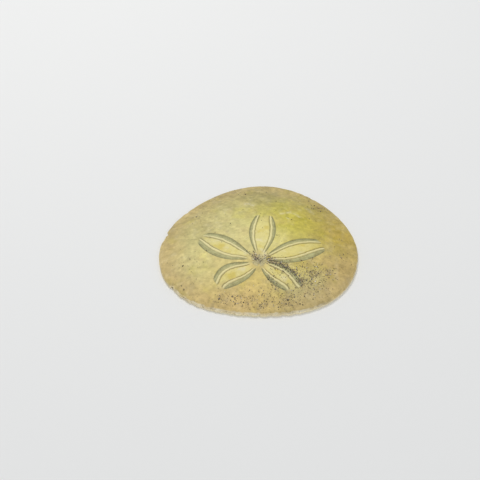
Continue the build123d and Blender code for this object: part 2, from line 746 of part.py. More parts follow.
def all_nodes():
    """Every sub-part of the sand dollar: its node name and its solids."""
    layout = mark_roof_knots()
    rays, gaps = floor_zones()
    nodes = {"crown_plate": crown_plate(), "eye_plates": eye_plates()}
    for i, name in enumerate(RAY_NAMES):
        zone, rows, starts, ends = layout["ray", i]
        nodes[f"{name}_petal"] = petal(i, layout)
        plates = [made[-1] for made in zone_plates(zone, rows, starts, ends, ROOF_RINGS)]
        nodes[f"{name}_ray_roof"] = plates + rim_pair(zone, roof)
        nodes[f"{name}_ray_floor"] = floor_ray(rays[i])
    for i, name in enumerate(GAP_NAMES):
        zone, rows, starts, ends = layout["gap", i]
        plates = [made[-1] for made in zone_plates(zone, rows, starts, ends, ROOF_RINGS)]
        nodes[f"{name}_gap_roof"] = plates + rim_pair(zone, roof)
        nodes[f"{name}_gap_floor"] = floor_gap(gaps[i], name == "rear")
        for piece, solids in jaw(gaps[i][1].ring_angle).items():
            nodes[f"{name}_{piece}"] = solids
    nodes["mouth_ray_plates"] = mouth_ray_plates(rays)
    nodes["mouth_gap_plates"] = mouth_gap_plates(gaps)
    nodes["rim_pillars"] = pillars()
    return nodes


def write_parts():
    os.makedirs("parts", exist_ok=True)
    for name, shapes in all_nodes().items():
        solids = [solid for shape in shapes for solid in shape.solids()]
        export_step(Compound(children=solids), f"parts/{name}.step")


write_parts()
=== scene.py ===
"""The looks of a sand dollar's skeleton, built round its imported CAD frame.

Every plate of the skeleton is made again as a fine closed mesh on the CAD's own dome, with its petals,
pores, knobs, seams, food grooves and worn rim as real relief, and so are the teeth. The rest of the jaws
and the pillars inside keep their CAD meshes.

Shapes are worked out in millimetres and turned into metres when a mesh is made. +Z is up and +Y is the
front. An angle is in degrees from the front, anticlockwise seen from above. A level is 0 at the dome's
peak and 1 on the outline. A reach is a distance from the crown, where the petals meet.
"""

import math

import bmesh
import bpy
import numpy as np
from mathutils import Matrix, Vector

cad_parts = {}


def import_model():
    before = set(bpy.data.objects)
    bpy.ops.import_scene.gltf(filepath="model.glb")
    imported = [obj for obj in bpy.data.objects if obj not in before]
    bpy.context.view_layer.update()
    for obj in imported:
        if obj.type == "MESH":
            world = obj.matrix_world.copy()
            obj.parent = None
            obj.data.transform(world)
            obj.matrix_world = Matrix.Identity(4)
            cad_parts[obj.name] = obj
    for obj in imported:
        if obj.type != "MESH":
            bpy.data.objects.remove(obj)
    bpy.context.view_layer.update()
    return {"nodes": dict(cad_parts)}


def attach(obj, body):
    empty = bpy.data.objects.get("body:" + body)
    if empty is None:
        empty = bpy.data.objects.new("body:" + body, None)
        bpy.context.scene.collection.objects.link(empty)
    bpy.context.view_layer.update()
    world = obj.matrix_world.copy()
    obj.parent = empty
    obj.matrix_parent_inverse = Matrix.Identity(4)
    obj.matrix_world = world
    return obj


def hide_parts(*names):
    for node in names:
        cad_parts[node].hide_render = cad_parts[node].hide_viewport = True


MM = 0.001

# The CAD's outline and section.
MEAN_RADIUS = 39.33
OUTLINE_WAVES = ((2, -0.56, -0.52), (3, 1.40, -0.05), (5, 0.23, 0.0))
HEIGHT = 9.5
PEAK_OFFSET = (0.0, -4.0)
DOME_POWER = 2.2
LIP_TOP = 1.6
SEAM_HEIGHT = 0.9
LIP_START = 0.965
SOLID_START = 0.86
ROOF_THICKNESS = 1.3
HOLLOW_DEPTH = 0.6
HOLLOW_RADIUS = 14.0

# The CAD's crown, petals and seams.
CROWN = (0.9, -16.4)
CROWN_PLATE_REACH = 1.8
EYE_PLATE_REACH = 2.9
PETAL_SWEEP = 2.6
# Each ray: its angle, its petal's length, and the width and fullness of the petal's left and right halves.
RAYS = {
    "front": (-0.8, 28.2, (5.6, 1.05), (5.8, 1.00)),
    "left": (59.0, 27.5, (8.0, 1.03), (4.4, 1.35)),
    "rear_left": (126.8, 19.3, (5.6, 0.77), (6.5, 1.43)),
    "rear_right": (235.4, 19.2, (5.4, 1.16), (5.6, 0.87)),
    "right": (299.2, 28.0, (5.5, 1.20), (6.9, 0.95)),
}
RAY_NAMES = list(RAYS)
RAY_LIST = list(RAYS.values())
RAY_COUNT = len(RAY_NAMES)
RAY_TURN = 360 / RAY_COUNT
GAP_NAMES = ["front_left", "side_left", "rear", "side_right", "front_right"]
RAY_SHARE_AT_RIM = 0.56
MAX_RAY_SHARE = 0.47
ROW_LENGTH = 4.8
ZIGZAG = 0.13
GENITAL_PORE_RADIUS = 0.2
GENITAL_PORE_REACH = 1.15
EYE_PORE_RADIUS = 0.14
EYE_PORE_REACH = 2.5

# The CAD's floor.
MOUTH = (0.5, -3.0)
MOUTH_RADIUS = 2.5
MOUTH_RING_RADIUS = 6.4
RING_GAP_HALF_ANGLE = 15.5
FLOOR_ROW_LENGTH = 6.5
VENT = (0.5, -31.0)
VENT_RADII = (1.2, 1.0)
GROOVE_DEPTH, GROOVE_SPREAD = 0.35, 0.378
GROOVE_TRUNK = 9.0
# A branch's bend and end: (share of the way out, share of the way from the ray's middle to its edge).
GROOVE_BEND, GROOVE_END = (0.45, 0.55), (1.0, 0.5)
# Each side branch: (where it leaves, how much farther out it ends, how far aside).
GROOVE_TWIGS = ((0.58, 0.17, 0.4), (0.70, 0.15, -0.24), (0.82, 0.13, 0.4))
# The jaws' pivots round the mouth, and the ridges that they rock on.
PIVOT_REACH, PIVOT_HEIGHT = 5.0, 3.0
RIDGE_RADIUS, RIDGE_WIDTH = 0.45, 2.2

# A tooth from its tip to its root: (distance from the mouth's middle, height, half thickness, half width).
TOOTH_LINE = (
    (0.70, 1.40, 0.05, 0.20), (0.85, 1.58, 0.10, 0.33), (1.45, 2.28, 0.22, 0.40),
    (2.35, 3.05, 0.28, 0.42), (5.40, 4.12, 0.34, 0.42), (8.45, 5.10, 0.34, 0.42),
)
TOOTH_SMOOTHINGS = 3
TOOTH_SIDES = 24
TOOTH_SQUARENESS = 0.6  # 1 is an oval section, and less is squarer

# How finely the meshes are made: the side of a square facet, and how many of them one inner facet spans.
ROOF_FACET, PETAL_FACET, FLOOR_FACET = 0.25, 0.13, 0.28
RING_FACET = 0.7 * FLOOR_FACET
INNER_STEP = 6
LIP_ROWS = 12
LIP_INSET_ROWS = 4
CROWN_RINGS, CROWN_COLUMNS = 18, 60

# How curves are searched for.
LEVEL_ROUNDS = 14
REACH_ROUNDS = 36
NEAREST_REACH, FARTHEST_REACH = 1.0, 70.0
PROBE_REACH, PROBES = 40.0, 30  # where a zone that runs to the rim is measured for its width
FAR = 9.0  # farther than anything that is looked for nearby

# Relief of the petals. A petal half, from its edge inwards, is a striped pore band, a ridge, a pore line
# and a field. Each half, left and right: the band's width, the share of the petal's length at which it
# ends, and its taper.
BANDS = {
    "front": ((1.35, 0.98, 0.62), (1.4, 0.98, 0.75)),
    "left": ((2.3, 1.0, 0.45), (2.1, 1.0, 0.30)),
    "rear_left": ((1.9, 0.95, 0.90), (2.0, 1.0, 0.45)),
    "rear_right": ((2.2, 1.0, 0.65), (1.8, 0.88, 0.80)),
    "right": ((1.9, 1.0, 0.40), (2.4, 1.0, 0.75)),
}
BAND_FULL_AT, BAND_TAPERS_AT = 0.55, 0.60  # shares of the band's length
BAND_RAGGEDNESS = 0.11
RIDGE_CREST = 0.95
PORE_LINE_GAP, PORE_LINE_SPREAD = 0.12, 0.17
PORE_PITCH = 0.52
BAND_SINK, RIDGE_RISE, PORE_LINE_SINK = 0.10, 0.16, 0.16
STRIPE_SINK, SLIT_SINK, FIELD_RISE = 0.06, 0.08, 0.04

# Relief elsewhere.
ROOF_SEAM, FLOOR_SEAM = 0.006, 0.022  # depth
SEAM_SPREAD = 0.14
# Knobs and pits: (spacing, radius, height or depth).
ROOF_KNOBS = (0.85, 0.24, 0.035)
FLOOR_KNOBS = (1.05, 0.30, 0.06)
SIEVE_PITS = (0.42, 0.11, 0.07)
PETAL_KNOB_SHARE, PETAL_SEAM_INSET = 0.35, 0.3
GENITAL_PORE_DEPTH, EYE_PORE_DEPTH = 0.5, 0.3
CROWN_RISE, EYE_RISE = 0.08, 0.05
# painted shade in the sieve plate's pits
SIEVE_PIT_SHADE = 0.35
# Unevenness: (strength, size, seed, number of layers).
ROOF_SWELL = (0.10, 15, 121, 3)
ROOF_LUMPS = (0.03, 2.2, 131, 3)
FLOOR_LUMPS = ((0.06, 13, 181, 3), (0.02, 2.0, 191, 3))
FLOOR_CLEARANCE = 0.06  # keeps the floor's relief above the CAD's underside


# ---- plan geometry

def step(start, angle, distance):
    """The plan points at a distance from start in the direction of angle."""
    a = np.radians(angle)
    x, y = start[0] - distance * np.sin(a), start[1] + distance * np.cos(a)
    return np.stack(np.broadcast_arrays(x, y), -1)


def outline_radius(angle):
    a = np.radians(angle)
    return MEAN_RADIUS + sum(c * np.cos(n * a) + s * np.sin(n * a) for n, c, s in OUTLINE_WAVES)


def middle_of_outline():
    angles = 0.5 * np.arange(720)
    around = step((0, 0), angles, outline_radius(angles))
    return -(around.max(0) + around.min(0)) / 2


CENTRE = middle_of_outline()


def level_point(level, angle):
    """The plan point on a line of equal level, in the direction of angle from that line's own middle."""
    middle = (CENTRE[0] + (1 - level) * PEAK_OFFSET[0], CENTRE[1] + (1 - level) * PEAK_OFFSET[1])
    return step(middle, angle, level * outline_radius(angle))


def level_and_angle(plan):
    """Each point's level, and its angle from the middle of that level's line."""
    level = np.zeros(plan.shape[:-1])
    angle = np.zeros(plan.shape[:-1])
    for _ in range(LEVEL_ROUNDS):
        x = plan[..., 0] - CENTRE[0] - (1 - level) * PEAK_OFFSET[0]
        y = plan[..., 1] - CENTRE[1] - (1 - level) * PEAK_OFFSET[1]
        angle = np.degrees(np.arctan2(-x, y))
        level = np.hypot(x, y) / outline_radius(angle)
    return level, angle % 360


def rounding(level):
    """1 inside the rim's rounded lip, falling to 0 at the outline."""
    past = np.clip((level - LIP_START) / (1 - LIP_START), 0, 1)
    return np.sqrt(1 - past**2)


def roof_height(level):
    dome = LIP_TOP + (HEIGHT - LIP_TOP) * (1 - np.clip(level, 0, 1) ** DOME_POWER)
    return SEAM_HEIGHT + (dome - SEAM_HEIGHT) * rounding(level)


def hollow(plan):
    """How far the floor is drawn up round the mouth."""
    away = distance_to(MOUTH, plan) / HOLLOW_RADIUS
    return HOLLOW_DEPTH * np.clip(1 - away**2, 0, None) ** 2


def floor_height(plan, level):
    return hollow(plan) + SEAM_HEIGHT * (1 - rounding(level))


def smooth(value, low, high):
    """0 below low, 1 above high, and an S curve between."""
    t = np.clip((value - low) / (high - low), 0, 1)
    return t * t * (3 - 2 * t)


def window(value, start, full, fading, end):
    """0 below start, 1 from full to fading, and 0 again above end."""
    return smooth(value, start, full) * (1 - smooth(value, fading, end))


def bell(value, width, power=2):
    """1 at 0, falling to 0 on both sides."""
    return np.exp(-np.abs(value / width) ** power)


def distance_to(point, plan):
    return np.linalg.norm(plan - np.array(point), axis=-1)


# ---- noise, the same wherever two meshes meet

def cell_value(ix, iy, seed):
    """A fixed random number from 0 to 1 for each cell of a square lattice."""
    h = (ix.astype(np.int64) * 374761393 + iy.astype(np.int64) * 668265263 + seed * 974634777) & 0xFFFFFFFF
    h = ((h ^ (h >> 13)) * 1274126177) & 0xFFFFFFFF
    return ((h ^ (h >> 16)) & 0xFFFF) / 65535.0


def noise(plan, size, seed):
    """Smooth noise from -1 to 1 with lumps of a size."""
    p = plan / size
    cell = np.floor(p)
    t = smooth(p - cell, 0, 1)
    x, y = t[..., 0], t[..., 1]
    ix, iy = cell[..., 0], cell[..., 1]
    low = cell_value(ix, iy, seed) * (1 - x) + cell_value(ix + 1, iy, seed) * x
    high = cell_value(ix, iy + 1, seed) * (1 - x) + cell_value(ix + 1, iy + 1, seed) * x
    return 2 * (low * (1 - y) + high * y) - 1


def layered_noise(plan, size, seed, layers=3):
    """Noise with finer lumps on it, each layer turned and half as strong."""
    turned = plan
    total = 0.0
    for k in range(layers):
        total = total + noise(turned, size / 2**k, seed + k) / 2**k
        turned = turned @ np.array([[0.8, -0.6], [0.6, 0.8]])
    return total / (2 - 2 ** (1 - layers))


def summed_noise(plan, layers):
    """The sum of several noises, each given by its strength, size, seed and number of layers."""
    return sum(strength * layered_noise(plan, *settings) for strength, *settings in layers)


def strayed(plan, amount, size, seeds, kind=noise):
    """The plan points pushed about by noise, so that what is drawn with them wanders."""
    return plan + amount * np.stack([kind(plan, size, seed) for seed in seeds], -1)


def knobs(plan, spacing, radius, seed):
    """Round bumps, 0 to 1 high, one in each cell of a jittered lattice."""
    p = plan / spacing
    cell = np.floor(p)
    nearest = np.full(plan.shape[:-1], FAR)
    for dx in (-1, 0, 1):
        for dy in (-1, 0, 1):
            ix, iy = cell[..., 0] + dx, cell[..., 1] + dy
            x = ix + 0.15 + 0.7 * cell_value(ix, iy, seed)
            y = iy + 0.15 + 0.7 * cell_value(ix, iy, seed + 1)
            nearest = np.minimum(nearest, (p[..., 0] - x) ** 2 + (p[..., 1] - y) ** 2)
    return np.exp(-nearest * (spacing / radius) ** 2)


# ---- seams

def neighbour_angle(index, side):
    """The angle between a ray and the next one on its left (side 1) or right (side -1)."""
    here, there = RAY_LIST[index][0], RAY_LIST[(index + side) % RAY_COUNT][0]
    return (side * (there - here)) % 360


def reach_to_level(angle_at, level, count):
    """The reach at which each of count lines, given by their angles at each reach, crosses a level."""
    low, high = np.full(count, NEAREST_REACH), np.full(count, FARTHEST_REACH)
    for _ in range(REACH_ROUNDS):
        middle = (low + high) / 2
        inside = level_and_angle(step(CROWN, angle_at(middle), middle))[0] < level
        low, high = np.where(inside, middle, low), np.where(inside, high, middle)
    return (low + high) / 2


RIM_REACH = [reach_to_level(lambda r, a=ray[0]: a + 0 * r, SOLID_START, 1)[0] for ray in RAY_LIST]


def half_width_angle(index, side, reach):
    """Half the angle, seen from the crown, that a ray covers on one side at a reach."""
    _, length, left, right = RAY_LIST[index]
    width, fullness = left if side > 0 else right
    to_next = neighbour_angle(index, side)
    inside = np.minimum(reach, length)
    across = width * np.sin(PETAL_SWEEP * (inside / length) ** fullness)
    spread = np.minimum(np.degrees(np.arctan2(across, inside)), MAX_RAY_SHARE * to_next)
    beyond = np.clip((reach - length) / (RIM_REACH[index] - length), 0, 1)
    return spread + (RAY_SHARE_AT_RIM * to_next / 2 - spread) * beyond


def seam_angle(index, side, reach):
    return RAY_LIST[index][0] + side * half_width_angle(index, side, reach)


def ray_edges(index):
    """Functions of reach: a ray's right edge, middle and left edge, as angles."""
    return (
        lambda r: seam_angle(index, -1, r),
        lambda r: RAY_LIST[index][0] + 0 * r,
        lambda r: seam_angle(index, 1, r),
    )


def gap_edges(index):
    """The same for the gap on the left of a ray."""
    after = (index + 1) % RAY_COUNT

    def right(r):
        return seam_angle(index, 1, r)

    def left(r):
        return right(r) + (seam_angle(after, -1, r) - right(r)) % 360

    return right, lambda r: (right(r) + left(r)) / 2, left


def between(edges, share, reach):
    """The angle part of the way across a zone: 0 is its right edge, 0.5 its middle and 1 its left edge."""
    right, middle, left = (edge(reach) for edge in edges)
    return np.where(
        share < 0.5,
        right + (middle - right) * 2 * share,
        middle + (left - middle) * (2 * share - 1),
    )


def rim_angles_of(edges):
    """The rim angles at which a zone's right edge, middle and left edge reach the solid rim."""
    found = []
    for share in (0.0, 0.5, 1.0):
        end = reach_to_level(lambda r, s=share: between(edges, s, r), SOLID_START, 1)
        found.append(level_and_angle(step(CROWN, between(edges, share, end), end))[1][0])
    return unwound(found)


def unwound(angles):
    """The same angles without a jump through 360."""
    return [angles[0] + ((a - angles[0] + 180) % 360 - 180) for a in angles]


# ---- grids of plan points

class Grid:
    """A zone's plan points in rows, from the crown or the mouth outwards, and columns, from right to left.

    It also holds what the relief and the colours need: each point's level, rim angle, row and distances.
    """

    def __init__(self, plan, rows_inside, plate_rows, middle_column):
        self.plan = plan
        self.level, self.angle = level_and_angle(plan)
        self.rows_inside = rows_inside
        steps = np.linalg.norm(np.diff(plan, axis=1), axis=-1)
        self.from_right = np.concatenate([np.zeros((len(plan), 1)), np.cumsum(steps, axis=1)], axis=1)
        self.width = self.from_right[:, -1:]
        self.from_left = self.width - self.from_right
        self.seam = self.seam_distance(plate_rows, middle_column)

    def seam_distance(self, plate_rows, middle_column):
        """Distance to the nearest seam of the zone's plates: its edges, its zigzag middle and its rows."""
        count = len(self.plan)
        half_row = np.minimum(2 * plate_rows * np.arange(count) / self.rows_inside, 2 * plate_rows)[:, None]
        lean = 1 - 2 * np.abs((half_row + 1) % 2 - 1)
        lean = np.where((half_row < 1) | (half_row > 2 * plate_rows - 1), 0, lean)
        middle = self.from_right[:, middle_column][:, None] + ZIGZAG / 2 * self.width * lean
        along = np.linalg.norm(np.diff(self.plan, axis=0), axis=-1).mean(axis=1)
        per_half_row = along[: self.rows_inside].sum() / (2 * plate_rows)
        to_even = np.abs(half_row - 2 * np.round(half_row / 2)) * per_half_row
        odd = np.clip(2 * np.round((half_row - 1) / 2) + 1, 3, None)
        to_odd = np.abs(half_row - odd) * per_half_row
        on_left = self.from_right > middle
        to_row = np.where(on_left, to_even, to_odd)
        inside = np.arange(count)[:, None] <= self.rows_inside
        to_row = np.where(inside, to_row, FAR)
        nearest = np.minimum(np.abs(self.from_right - middle), np.minimum(self.from_right, self.from_left))
        return np.minimum(nearest, to_row)


def rim_levels(facet):
    """Levels of the rows from the solid rim's start to the outline."""
    flat_rows = max(2, math.ceil((LIP_START - SOLID_START) * MEAN_RADIUS / facet))
    flat = SOLID_START + (LIP_START - SOLID_START) * np.arange(1, flat_rows + 1) / flat_rows
    lip = LIP_START + (1 - LIP_START) * np.sin(np.radians(90 / LIP_ROWS * np.arange(1, LIP_ROWS + 1)))
    return np.concatenate([flat, lip])


def even(number):
    return 2 * max(1, math.ceil(number / 2))


def roof_grid(edges, start, end, facet):
    """Rows from a start reach to an end reach, or on to the outline if end is None."""
    reaches_rim = end is None
    probe = np.linspace(start, end or PROBE_REACH, PROBES)
    width = np.max(np.radians(edges[2](probe) - edges[0](probe)) * probe)
    columns = even(width / facet)
    share = np.linspace(0, 1, columns + 1)
    ends = end
    if reaches_rim:
        ends = reach_to_level(lambda r: between(edges, share, r), SOLID_START, columns + 1)
    rows = math.ceil((np.max(ends) - start) / facet)
    part = np.linspace(0, 1, rows + 1)[:, None]
    reach = start + (ends - start) * part
    plan = step(CROWN, between(edges, share, reach), reach)
    if reaches_rim:
        rim_angle = level_and_angle(plan[-1])[1]
        rim = [level_point(level, rim_angle) for level in rim_levels(facet)]
        plan = np.concatenate([plan, np.array(rim)])
    length = np.max(ends) - start
    grid = Grid(plan, rows, max(1, round(length / ROW_LENGTH)), columns // 2)
    grid.reach = distance_to(CROWN, plan)
    return grid


def floor_grid(ring_angles, rim_angles, facet):
    """Rows from the mouth ring to the outline, both given by a zone's right edge, middle and left edge."""
    arc = math.radians(rim_angles[2] - rim_angles[0]) * MEAN_RADIUS
    columns = even(arc / facet)
    share = np.linspace(0, 1, columns + 1)
    ring = np.interp(share, (0, 0.5, 1), ring_angles)
    rim = np.interp(share, (0, 0.5, 1), rim_angles)
    starts, ends = step(MOUTH, ring, MOUTH_RING_RADIUS), level_point(SOLID_START, rim)
    length = np.linalg.norm(ends - starts, axis=-1).max()
    rows = math.ceil(length / facet)
    part = np.linspace(0, 1, rows + 1)[:, None, None]
    plan = starts + (ends - starts) * part
    plan = np.concatenate([plan, np.array([level_point(level, rim) for level in rim_levels(facet)])])
    return Grid(plan, rows, max(2, round(length / FLOOR_ROW_LENGTH)), columns // 2)


def ring_grid(low, high, facet):
    """A sector of the mouth ring, between two angles."""
    columns = even(math.radians(high - low) * MOUTH_RING_RADIUS / facet)
    rows = math.ceil((MOUTH_RING_RADIUS - MOUTH_RADIUS) / facet)
    radius = np.linspace(MOUTH_RADIUS, MOUTH_RING_RADIUS, rows + 1)[:, None]
    plan = step(MOUTH, np.linspace(low, high, columns + 1), radius)
    return Grid(plan, rows, 1, columns // 2)


# ---- closed shells

def with_height(plan, z):
    return np.concatenate([plan, np.broadcast_to(z, plan.shape[:-1])[..., None]], axis=-1)


def zipped(fine, fine_marks, coarse, coarse_marks):
    """Triangles between two lines of vertices whose marks run over the same span."""
    faces, i, j = [], 0, 0
    while i < len(fine) - 1 or j < len(coarse) - 1:
        if j == len(coarse) - 1 or (i < len(fine) - 1 and fine_marks[i + 1] <= coarse_marks[j + 1]):
            faces.append((fine[i], fine[i + 1], coarse[j]))
            i += 1
        else:
            faces.append((fine[i], coarse[j + 1], coarse[j]))
            j += 1
    return faces


def quads(ids):
    """Four-sided faces between the rows and columns of a grid of vertices."""
    corners = (ids[:-1, :-1], ids[:-1, 1:], ids[1:, 1:], ids[1:, :-1])
    return np.stack(corners, -1).reshape(-1, 4).tolist()


def marks(count):
    """Every INNER_STEP-th number up to count - 1, with the last."""
    return sorted({*range(0, count, INNER_STEP), count - 1})


def linked_object(name, data):
    made = bpy.data.objects.new(name, data)
    bpy.context.scene.collection.objects.link(made)
    return made


class Shell:
    """A closed mesh being put together: a fine outer skin, a coarse inner skin, and the walls between."""

    def __init__(self):
        self.points, self.tints, self.skin_faces, self.other_faces = [], [], [], []
        self.count = 0

    def add_points(self, points, tint):
        ids = np.arange(self.count, self.count + points[..., 0].size).reshape(points.shape[:-1])
        self.points.append(points.reshape(-1, 3))
        self.tints.append(np.broadcast_to(tint, points.shape).reshape(-1, 3))
        self.count += ids.size
        return ids

    def add_plate(self, grid, outer, tint, inner_height):
        """Adds outer skin points with their tints, and the inner skin that backs them at a height."""
        columns = marks(outer.shape[1])
        backing = inner_rows(grid)
        plan = worn_plan(grid)
        inner = np.stack([
            with_height(plan[row][columns], SEAM_HEIGHT if is_flat else inner_height[row][columns])
            for _, row, is_flat in backing
        ])
        skin = self.add_points(outer, tint)
        back = self.add_points(inner, BONE)
        self.skin_faces += quads(skin)
        self.other_faces += quads(back)
        across, along = range(outer.shape[1]), range(outer.shape[0])
        rows = [mark for mark, _, _ in backing]
        self.other_faces += zipped(skin[0], across, back[0], columns)
        self.other_faces += zipped(skin[-1], across, back[-1], columns)
        self.other_faces += zipped(skin[:, 0], along, back[:, 0], rows)
        self.other_faces += zipped(skin[:, -1], along, back[:, -1], rows)

    def mesh_object(self, name):
        mesh = bpy.data.meshes.new(name)
        points = np.concatenate(self.points) * MM
        mesh.from_pydata(points.tolist(), [], self.skin_faces + self.other_faces)
        flags = [True] * len(self.skin_faces) + [False] * len(self.other_faces)
        mesh.polygons.foreach_set("use_smooth", flags)
        tints = np.concatenate([np.concatenate(self.tints), np.ones((self.count, 1))], axis=1)
        colours = mesh.color_attributes.new("tint", "FLOAT_COLOR", "POINT")
        colours.data.foreach_set("color", tints.astype(np.float32).ravel())
        outward = bmesh.new()
        outward.from_mesh(mesh)
        bmesh.ops.recalc_face_normals(outward, faces=outward.faces)
        outward.to_mesh(mesh)
        outward.free()
        return linked_object(name, mesh)


def inner_rows(grid):
    """The rows that back a grid: (its row, the plan row that it stands over, is it the rim's flat seam)."""
    count = len(grid.plan)
    if count == grid.rows_inside + 1:
        return [(row, row, False) for row in marks(count)]
    inside = [(row, row, False) for row in marks(grid.rows_inside + 1)]
    rim = [row for row in marks(count) if grid.rows_inside + 2 <= row < count - 2 * LIP_INSET_ROWS]
    flat = [(row, row, True) for row in (grid.rows_inside, *rim)]
    return [*inside, *flat, (count - 1, count - 1 - LIP_INSET_ROWS, True)]


# ---- colours

def linear(red, green, blue):
    """A display colour, 0 to 255, as linear light."""
    c = np.array([red, green, blue]) / 255
    return np.where(c <= 0.04045, c / 12.92, ((c + 0.055) / 1.055) ** 2.4)


STRAW = linear(207, 198, 136)
TAN = linear(193, 168, 114)
OLIVE = linear(188, 179, 46)
AMBER = linear(172, 148, 44)
GOLD = linear(203, 181, 72)
MUTED = linear(160, 146, 90)
CREAM = linear(228, 219, 192)
GREY_GREEN = linear(174, 172, 124)
RIDGE_CREAM = linear(230, 220, 166)
# Brown for stains, specks and faint lines, and for painted shade in pores and pits.
STAIN_AND_PORE_SHADE_BROWN = linear(114, 106, 68)
PETAL_YELLOW = linear(224, 212, 138)
CROWN_GREY = linear(186, 178, 140)
FLOOR_TAN = linear(200, 184, 138)
FLOOR_PALE = linear(214, 202, 160)
BONE = linear(214, 204, 172)
JAW_WHITE = linear(224, 216, 190)
TOOTH_WHITE = linear(236, 232, 216)
DUST = linear(150, 132, 100)
# Painted light: a lighter tan for the rear rim, which faces away from the key light.
REAR_RIM_PAINTED_LIGHT_TAN = linear(224, 196, 134)
REAR_GOLD = linear(210, 178, 100)
SIDE_TAN = linear(178, 150, 88)
FRONT_BROWN = linear(152, 132, 66)
# Patches of the roof's colour, one of them painted light on the rear rim: (x, y, radius, colour, strength).
ROOF_PATCHES = (
    (14, 11, 15, OLIVE, 0.88),
    (0, 17, 9, OLIVE, 0.30),
    (31, 3, 13, AMBER, 0.80),
    (17, -12, 9, GOLD, 0.75),
    (26, -13, 6, TAN, 0.5),
    (0, 27, 12, MUTED, 0.65),
    (-27, 5, 14, MUTED, 0.50),
    (-18, 20, 10, MUTED, 0.35),
    (3, -28, 9, GOLD, 0.45),
    # painted light: the rear rim is lightened where the key light leaves it in shade
    (-4, -36, 9, REAR_RIM_PAINTED_LIGHT_TAN, 0.7),
    (-6, -26, 15, REAR_GOLD, 0.45),
    (31, -14, 9, SIDE_TAN, 0.55),
    (25, 20, 11, FRONT_BROWN, 0.5),
    (33, 12, 8, AMBER, 0.25),
    (8, -6, 3.5, PETAL_YELLOW, 0.9),
    (-21, -13.5, 3, PETAL_YELLOW, 0.4),
)
# Scuffs and faint lines: (start, end, half width, colour, strength).
ROOF_MARKS = (
    ((-23.5, -4.4), (-28.3, -3.0), 0.3, STAIN_AND_PORE_SHADE_BROWN, 0.30),
    ((-28.3, -3.0), (-34.0, -2.2), 0.3, STAIN_AND_PORE_SHADE_BROWN, 0.22),
    ((-24.3, -15.0), (-30.5, -12.8), 0.6, STAIN_AND_PORE_SHADE_BROWN, 0.18),
    ((8.0, 13.2), (11.8, 15.3), 0.8, CREAM, 0.36),
    ((13.5, 14.8), (16.0, 12.8), 0.7, CREAM, 0.36),
    ((10.5, 10.8), (11.8, 10.2), 0.5, CREAM, 0.32),
    ((-6.8, 19.2), (-4.2, 18.5), 1.5, CREAM, 0.32),
    ((18.5, 20.0), (21.0, 17.5), 0.7, CREAM, 0.25),
    ((2.9, -11.8), (2.7, -14.6), 0.8, CREAM, 0.45),
)

# Soft blotches: (colour, strength, size, seed, and the noise at which they start and are full).
ROOF_BLOTCHES = ((TAN, 0.25, 7, 35, 0.1, 0.7), (OLIVE, 0.18, 5, 37, 0.1, 0.7))
ROOF_FLECKS = ((CREAM, 0.10, 2.6, 63, 0.0, 0.7), (TAN, 0.18, 3.2, 65, 0.0, 0.7))
FIELD_BLOTCHES = ((GOLD, 0.6, 3.0, 217, -0.1, 0.6), (CREAM, 0.4, 2.6, 219, 0.1, 0.7))
FLOOR_BLOTCHES = ((STRAW, 0.5, 11, 71, -0.2, 0.5),)
# Light and dark: (strength, size, seed, number of layers).
ROOF_SHADES = ((0.13, 4, 51, 3), (0.24, 1.3, 61, 4))
FLOOR_SHADES = ((0.07, 5, 81, 3), (0.05, 1.2, 91, 3))
ROOF_BRIGHTNESS = 1.05
FRONT_SHADE, FRONT_SHADE_FROM, FRONT_SHADE_TO = 0.17, 8, 30
ROOF_SEAM_SHADE, FLOOR_SEAM_SHADE = 0.015, 0.07
DUST_STRENGTH = 0.55
PALE_FLOOR_RADIUS = 16

# Where loose sand lies on the roof: (x, y, spread along, spread across, turn in degrees, number of grains).
SAND_DRIFTS = (
    (0.2, -15.4, 1.8, 0.9, -51, 130),
    (5.2, -15.4, 1.5, 0.9, -40, 110),
    (9.4, -17.4, 2.6, 0.9, -20, 120),
    (14.6, -19.8, 2.2, 0.9, -45, 100),
    (17.5, -23.6, 1.7, 0.8, -60, 60),
    (22, -21.5, 3.4, 3.2, 0, 260),
    (25, -17.0, 4.0, 2.4, 20, 90),
    (14, -18.5, 6.0, 2.5, -30, 60),
    (6.3, -25.0, 2.2, 0.9, -60, 60),
    (8.5, -21.0, 2.2, 1.3, -40, 45),
    (13, -32.0, 2.0, 1.6, 30, 60),
    (5, -31.5, 7.0, 2.2, 8, 110),
    (2, -35.0, 8.0, 1.2, 4, 110),
    (-9, -33.0, 3.6, 1.4, -5, 80),
    (18, -29.0, 4.0, 3.0, 30, 60),
    (23, 24, 3.5, 2.2, -45, 40),
    (-28, 11, 2.5, 1.6, 45, 14),
    (-8, 29, 4.0, 1.2, 10, 14),
    (33, -9, 2.0, 6.0, 0, 24),
    (-26, -20, 4.0, 5.0, 30, 30),
    (0, -2, 17, 14, 0, 50),
)


def mix(base, colour, share):
    return base + (colour - base) * np.asarray(share)[..., None]


def blotched(tint, plan, blotches, share=1.0):
    """The tint with soft blotches on it, where share is 1."""
    for colour, strength, size, seed, low, high in blotches:
        tint = mix(tint, colour, strength * share * smooth(layered_noise(plan, size, seed), low, high))
    return tint


def segment_distance(plan, start, end):
    """Distance to a straight stretch, and how far along it the nearest point is."""
    line = np.subtract(end, start)
    along = np.clip(((plan - start) @ line) / (line @ line), 0, 1)
    nearest = start + along[..., None] * line
    return distance_to(nearest, plan), along


def dustiness(plan):
    """How much fine dust lies between the sand grains, from 0 to 1."""
    density = np.zeros(plan.shape[:-1])
    for x, y, along, across, turn, number in SAND_DRIFTS:
        a = math.radians(turn)
        aside = plan - (x, y)
        u = (aside[..., 0] * math.cos(a) + aside[..., 1] * math.sin(a)) / along
        v = (aside[..., 1] * math.cos(a) - aside[..., 0] * math.sin(a)) / across
        density += number / (2 * math.pi * along * across) * np.exp(-(u**2 + v**2) / 2)
    patchy = smooth(layered_noise(plan, 2.4, 57), -0.5, 0.6)
    return (1 - np.exp(-0.45 * density)) * patchy


